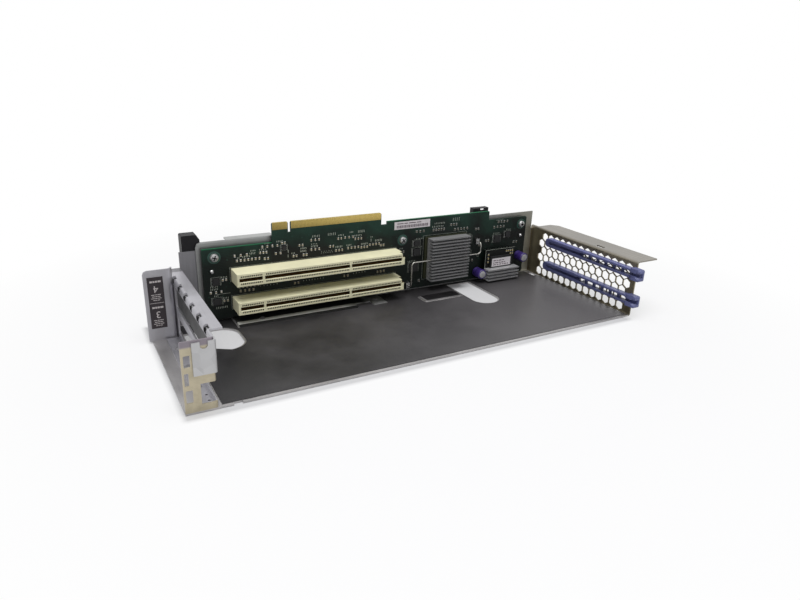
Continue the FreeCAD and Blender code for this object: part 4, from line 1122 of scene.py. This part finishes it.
class RISER_OT_small_parts(bpy.types.Operator):
    """Models a chip capacitor with tinned ends, and puts one in each place on the board."""
    bl_idname = "riser.small_parts"
    bl_label = "Small parts"

    def execute(self, context):
        wide, deep, tall, end = 0.9, 0.8, 1.7, 0.34
        body = soften(block("chip_body", (0.04, 0.03 - deep, 0.28), (wide - 0.04, 0, tall - 0.28)), 0.04, 1)
        dress(body, "ceramic")
        ends = []
        for z in (0, tall - end):
            ends.append(soften(block("chip_end", (0, -deep, z), (wide, 0, z + end)), 0.09, 1))
            dress(ends[-1], "tin")
        unit = gather("chip_unit", [body] + ends)

        def unit_in(*finishes):
            twin = copy_at(unit, 0, 0, 0)
            for place, finish in enumerate(finishes):
                twin.data.materials[place] = FINISHES[finish]
            return twin

        dark, tan = unit_in("dim", "can_top"), unit_in("edge", "can_top")
        slots_end = box_mm(SLOTS[0])[1].x
        placed = [(low.x, low.z) for low, high in solids_of("chip_capacitors")]
        for name, places, *nodes in (("chip_capacitor_bodies", placed, "chip_capacitors"),
                                     ("chip_resistors", EXTRA_PLACES)):
            units = [copy_at(dark if x > slots_end else unit, x, 0, z) for x, z in places]
            hand_over(gather(name, units), None, "ceramic_beige", *nodes)
        low, high = box_mm("module_board")
        beside, below = 2.1, 3.2
        places = [(high.x - 9.6 + i * beside, high.z - 3.4) for i in range(4)]
        places += [(high.x - 5.4 + i * beside, high.z - 6.0) for i in range(2)]
        places += [(low.x + 2.4, high.z - 5.0 - i * below) for i in range(3)]
        units = [copy_at(tan, x, low.y, z) for x, z in places]
        hand_over(gather("module_parts", units), None, "ceramic_beige")
        discard(unit, dark, tan)
        return {"FINISHED"}


def gull_lead(long):
    """One lead of a chip: out of the body, down and along the board."""
    lead = block("lead", (0, -0.95, -0.16), (0.5, -0.78, 0.16))
    edit(lead)
    pick_faces(lead, lambda middle, normal: normal.x > 0.5)
    push(0.22, 0.62, 0)
    push(long, 0.14, 0)
    leave_editing()
    return lead


class RISER_OT_small_chips(bpy.types.Operator):
    """Models the small packages with their leads and pin-one dimples."""
    bl_idname = "riser.small_chips"
    bl_label = "Small chips"

    def execute(self, context):
        lead_room, pitch, dimple_radius = 0.7, 0.8, 0.32
        bodies = []
        leads = []
        right = gull_lead(0.4)
        left = mirrored(right, (-1, 1, 1))
        for low, high in solids_of("small_chips"):
            body = block("package", (low.x + lead_room, low.y, low.z), (high.x - lead_room, -0.12, high.z))
            soften(inset_front(body, 0.12), 0.1, 2)
            dimple = turned("dimple", [(0, -2.2), (dimple_radius, -2.2), (dimple_radius, low.y + 0.12),
                                       (0, low.y + 0.14)], (low.x + 1.5, 0, high.z - 0.8), 12)
            bodies.append(smooth(carve(body, dimple), 35))
            count = max(2, int((high.z - low.z - 0.3) / pitch))
            step = (high.z - low.z - pitch) / (count - 1)
            for i in range(count):
                z = low.z + 0.4 + i * step
                leads += [copy_at(right, high.x - 1.1, 0, z), copy_at(left, low.x + 1.1, 0, z)]
        discard(right, left)
        hand_over(gather("chip_packages", bodies), "chip", "chip_black", "small_chips")
        hand_over(gather("chip_leads", leads), "tin", "tinned_steel")
        return {"FINISHED"}


# Labels and printed marks

def flat_bars(name, bars, front, thick):
    """Thin raised bars on a face that looks along -Y, from (x, z, wide, high)."""
    return gather(name, [block("bar", (x, front - thick, z), (x + wide, front, z + high))
                         for x, z, wide, high in bars])


def frame_round(low, high, aside, above):
    """Four bars round a box, at some distance from it."""
    wide = 0.15
    x0, z0, x1, z1 = low.x - aside, low.z - above, high.x + aside, high.z + above
    return [(x0, z0, x1 - x0, wide), (x0, z1 - wide, x1 - x0, wide),
            (x0, z0, wide, z1 - z0), (x1 - wide, z0, wide, z1 - z0)]


def digit(character, x, z, front, height):
    """A number on a face that looks along -Y, upside down as the cage is stored."""
    size_per_height = 1.38
    start_clean()
    bpy.ops.object.text_add()
    words = bpy.context.object.data
    words.body = character
    words.size = height * size_per_height * MM
    words.extrude = 0.02 * MM
    words.align_x = "CENTER"
    words.align_y = "CENTER"
    bpy.ops.object.convert(target="MESH")
    return shift(turn(turn(bpy.context.object, 90, "X"), 180), x, front, z)


class RISER_OT_slot_label(bpy.types.Operator):
    """Models the slot label: two fields with their numbers and plain bars."""
    bl_idname = "riser.slot_label"
    bl_label = "Slot label"

    def execute(self, context):
        low, high = box_mm("slot_label")
        height = context.scene.riser_sizes.digit_height / MM
        ground = soften(inset_front(block("label_ground", low, high), 0.3), 0.08, 2)
        hand_over(ground, "dark_label", "label_black", "slot_label")
        middle = (low.x + high.x) / 2
        half = (high.z - low.z) / 2
        marks = []
        bars = [(low.x + 0.6, low.z + half - 0.15, high.x - low.x - 1.2, 0.25)]
        for base, character in ((low.z, "3"), (low.z + half, "4")):
            marks.append(digit(character, middle, base + half * 0.55, low.y, height))
            for start, wide in ((-3.2, 1.5), (-1.4, 1.1), (0.0, 1.3), (1.6, 1.8)):
                bars.append((middle + start, base + half * 0.79, wide, 1.15))
            for row, long in ((0.31, 6.0), (0.24, 5.2), (0.17, 6.4), (0.10, 4.2)):
                start = middle - long / 2
                for share in (0.32, 0.2, 0.34):
                    bars.append((start, base + half * row, long * share, 0.42))
                    start += long * (share + 0.05)
        marks.append(flat_bars("label_bars", bars, low.y + 0.01, 0.04))
        hand_over(gather("label_marks", marks), "ink", "label_black")
        return {"FINISHED"}


class RISER_OT_board_label(bpy.types.Operator):
    """Models the white labels on the board and the module, with strips of plain bars."""
    bl_idname = "riser.board_label"
    bl_label = "Board and module labels"

    def execute(self, context):
        low, high = box_mm("board_label")
        sheet = soften(inset_front(block("white_label", low, high), 0.4), 0.05, 2)
        hand_over(sheet, "label", "label_white", "board_label")
        bars = []
        x = low.x + 2.0
        number = 0
        while x < high.x - 2.2:
            wide = (0.35, 0.6, 0.3, 0.45, 0.8)[number % 5]
            bars.append((x, low.z + 0.9, wide, 2.2))
            x += wide + (0.3, 0.25, 0.4, 0.3)[number % 4]
            number += 1
        for start, wide in ((2.4, 5.5), (8.6, 3.4), (12.8, 6.2), (19.8, 4.0)):
            bars.append((low.x + start, high.z - 1.9, wide, 0.7))
        near, far = box_mm("module_label")
        plate = soften(block("module_plate", near, far), 0.05, 2)
        hand_over(plate, "label", "label_white", "module_label")
        lines = []
        for row, share in enumerate((0.66, 0.38, 0.14)):
            x = near.x + 1.4
            for step in range(4 + row):
                wide = (2.6, 1.4, 3.2, 1.9, 2.2, 1.2)[(step + row) % 6]
                if x + wide < far.x - 1:
                    lines.append((x, near.z + share * (far.z - near.z), wide, 0.8))
                x += wide + 0.7
        strips = [flat_bars("label_strip", bars, low.y + 0.01, 0.03),
                  flat_bars("module_strip", lines, near.y + 0.01, 0.03)]
        hand_over(gather("label_bars_board", strips), "label_ink", "label_black")
        return {"FINISHED"}


class RISER_OT_board_marks(bpy.types.Operator):
    """Prints outlines and short plain ticks beside the parts on the board."""
    bl_idname = "riser.board_marks"
    bl_label = "Board marks"

    def execute(self, context):
        bars = []
        for node in SLOTS:
            bars += frame_round(*box_mm(node), 0.8, 0.7)
        bars += frame_round(*box_mm("bridge_chip"), 1.2, 1.2)
        for corners in solids_of("small_chips"):
            bars += frame_round(*corners, 0.5, 0.5)
        for x, z in [(low.x, low.z) for low, high in solids_of("chip_capacitors")] + EXTRA_PLACES:
            bars += [(x - 0.3, z - 0.2, 0.1, 2.1), (x + 1.1, z - 0.2, 0.1, 2.1)]
        for x, z, count, step, high in TICKS:
            for i in range(count):
                bars.append((x + i * step, z, 0.34, high))
                if i % 2 and high > 1:
                    bars.append((x + i * step + 0.3, z + high - 0.34, 0.36, 0.3))
        bars.append((-12.2, 21.0, 11.0, 0.16))
        low, high = box_mm("module_board")
        outline = [(low.x, high.z - 0.25, high.x - low.x, 0.25), (low.x, low.z, 0.25, high.z - low.z)]
        strips = [flat_bars("board_marks", bars, 0.0, 0.02), flat_bars("module_marks", outline, low.y, 0.02)]
        hand_over(gather("board_marks", strips), "mark", "label_white")
        return {"FINISHED"}


# Stage

def add_light(name, place, target, size, power):
    start_clean()
    bpy.ops.object.light_add(type="AREA", location=place)
    lamp = bpy.context.object
    lamp.name = name
    lamp.data.shape = "RECTANGLE"
    lamp.data.size, lamp.data.size_y = size
    lamp.data.energy = power
    lamp.rotation_euler = (Vector(target) - Vector(place)).to_track_quat("-Z", "Y").to_euler()


def seen_white(tree, plain, white):
    """The output of a shader that the camera and reflections see as white over the plain one."""
    path = tree.nodes.new("ShaderNodeLightPath")
    total = path.outputs["Is Camera Ray"]
    for name in ("Is Glossy Ray", "Is Transmission Ray"):
        node = tree.nodes.new("ShaderNodeMath")
        node.operation = "MAXIMUM"
        tree.links.new(total, node.inputs[0])
        tree.links.new(path.outputs[name], node.inputs[1])
        total = node.outputs["Value"]
    mix = tree.nodes.new("ShaderNodeMixShader")
    for place, source in enumerate((total, plain, white)):
        tree.links.new(source, mix.inputs[place])
    return mix.outputs["Shader"]


def floor_finish(tint):
    """Paper lit by the lamps near the cage, with painted shade under the cage, that shines white further out.
    """
    low, high = CAD_BOX[0] / MM, CAD_BOX[1] / MM
    middle = (low + high) / 2 * MM
    finish = Finish("floor_paper", tint, roughness=0.9, gloss=0.1)
    # Painted shade: the floor under the cage is darker and glows less
    under = finish.within(("X", low.x - 2, low.x + 2), ("X", 268, 262), ("Y", low.y - 1, low.y + 3),
                          ("Y", high.y + 1, high.y - 3))
    away = finish.add("ShaderNodeVectorMath", {0: finish.place, 1: (middle.x, middle.y, 0)},
                      operation="DISTANCE")
    open_floor = finish.spread(away.outputs["Value"], 0.17, 0.34, 0.6, 1.0)
    shining = finish.maths("MULTIPLY", open_floor, finish.spread(under, 0, 1, 1, 0.05))
    finish.colour(finish.blend(under, tint, shade(tint, 0.72)))
    plain = finish.shader.outputs["BSDF"]
    glow = finish.add("ShaderNodeEmission", {"Strength": 1.0}).outputs["Emission"]
    half = finish.add("ShaderNodeMixShader", {0: shining, 1: plain, 2: glow}).outputs["Shader"]
    finish.feed(finish.tree.nodes["Material Output"].inputs["Surface"], seen_white(finish.tree, plain, half))
    return finish.material


class RISER_OT_stage(bpy.types.Operator):
    """Makes the floor, the soft light, the white surroundings and the camera."""
    bl_idname = "riser.stage"
    bl_label = "Stage"

    def execute(self, context):
        scene = context.scene
        view = scene.riser_stage
        start_clean()
        floor_radius, below_cage = 40.0, 0.0002
        bpy.ops.mesh.primitive_circle_add(vertices=96, radius=floor_radius, fill_type="NGON",
                                          location=(0.1, 0, -below_cage))
        floor = settle(bpy.context.object, "floor")
        floor.data.materials.append(floor_finish(tuple(scene.riser_colours.floor)))
        scene.world = bpy.data.worlds.new("Surroundings")
        scene.world.use_nodes = True
        sky = scene.world.node_tree
        room = sky.nodes["Background"]
        white = sky.nodes.new("ShaderNodeBackground")
        for light, strength in ((room, view.daylight), (white, 1.0)):
            light.inputs["Color"].default_value = (1, 1, 1, 1)
            light.inputs["Strength"].default_value = strength
        seen = seen_white(sky, room.outputs["Background"], white.outputs["Background"])
        sky.links.new(seen, sky.nodes["World Output"].inputs["Surface"])
        add_light("overhead_light", (0.05, -0.25, 1.0), (0.12, -0.05, 0.0), (0.9, 0.7), view.key_light)
        add_light("left_light", (-0.9, -0.7, 0.5), (0.1, -0.05, 0.03), (0.6, 0.6), view.side_light)
        bpy.ops.object.camera_add(location=view.eye)
        camera = context.object
        camera.name = "photograph_view"
        aim = Matrix.Rotation(-view.azimuth, 4, "Z") @ Matrix.Rotation(math.pi / 2 - view.elevation, 4, "X")
        camera.rotation_euler = (aim @ Matrix.Rotation(view.roll, 4, "Z")).to_euler()
        camera.data.sensor_width = 36.0
        camera.data.lens = view.lens
        camera.data.clip_start = 0.01
        camera.data.clip_end = 50.0
        scene.camera = camera
        scene.view_settings.view_transform = "Standard"
        return {"FINISHED"}


class RISER_PT_panel(bpy.types.Panel):
    """Lists the pieces, the finishes and the stage."""
    bl_idname = "RISER_PT_panel"
    bl_label = "Riser cage"
    bl_space_type = "VIEW_3D"
    bl_region_type = "UI"
    bl_category = "Riser"

    def draw(self, context):
        layout = self.layout
        for place, kind in GROUPS.items():
            column = layout.column(align=True)
            for name in kind.__annotations__:
                column.prop(getattr(context.scene, place), name)
        for step in STEPS:
            layout.operator(step.bl_idname)


GROUPS = {"riser_sizes": RiserSizes, "riser_colours": RiserColours, "riser_stage": RiserStage}
STEPS = (RISER_OT_finishes, RISER_OT_card_slots, RISER_OT_edge_pads, RISER_OT_latch, RISER_OT_guides,
         RISER_OT_capacitors, RISER_OT_board_screws, RISER_OT_small_parts, RISER_OT_small_chips,
         RISER_OT_slot_label, RISER_OT_board_label, RISER_OT_board_marks, RISER_OT_stage)
CLASSES = (*GROUPS.values(), *STEPS, RISER_PT_panel)


def register():
    for entry in CLASSES:
        bpy.utils.register_class(entry)
    for place, kind in GROUPS.items():
        setattr(bpy.types.Scene, place, bpy.props.PointerProperty(type=kind))


def unregister():
    for place in GROUPS:
        delattr(bpy.types.Scene, place)
    for entry in reversed(CLASSES):
        bpy.utils.unregister_class(entry)


def main():
    register()
    bpy.ops.riser.finishes()
    bpy.ops.riser.card_slots()
    bpy.ops.riser.edge_pads()
    bpy.ops.riser.latch()
    bpy.ops.riser.guides()
    bpy.ops.riser.capacitors()
    bpy.ops.riser.board_screws()
    bpy.ops.riser.small_parts()
    bpy.ops.riser.small_chips()
    bpy.ops.riser.slot_label()
    bpy.ops.riser.board_label()
    bpy.ops.riser.board_marks()
    bpy.ops.riser.stage()


if __name__ == "__main__":
    main()
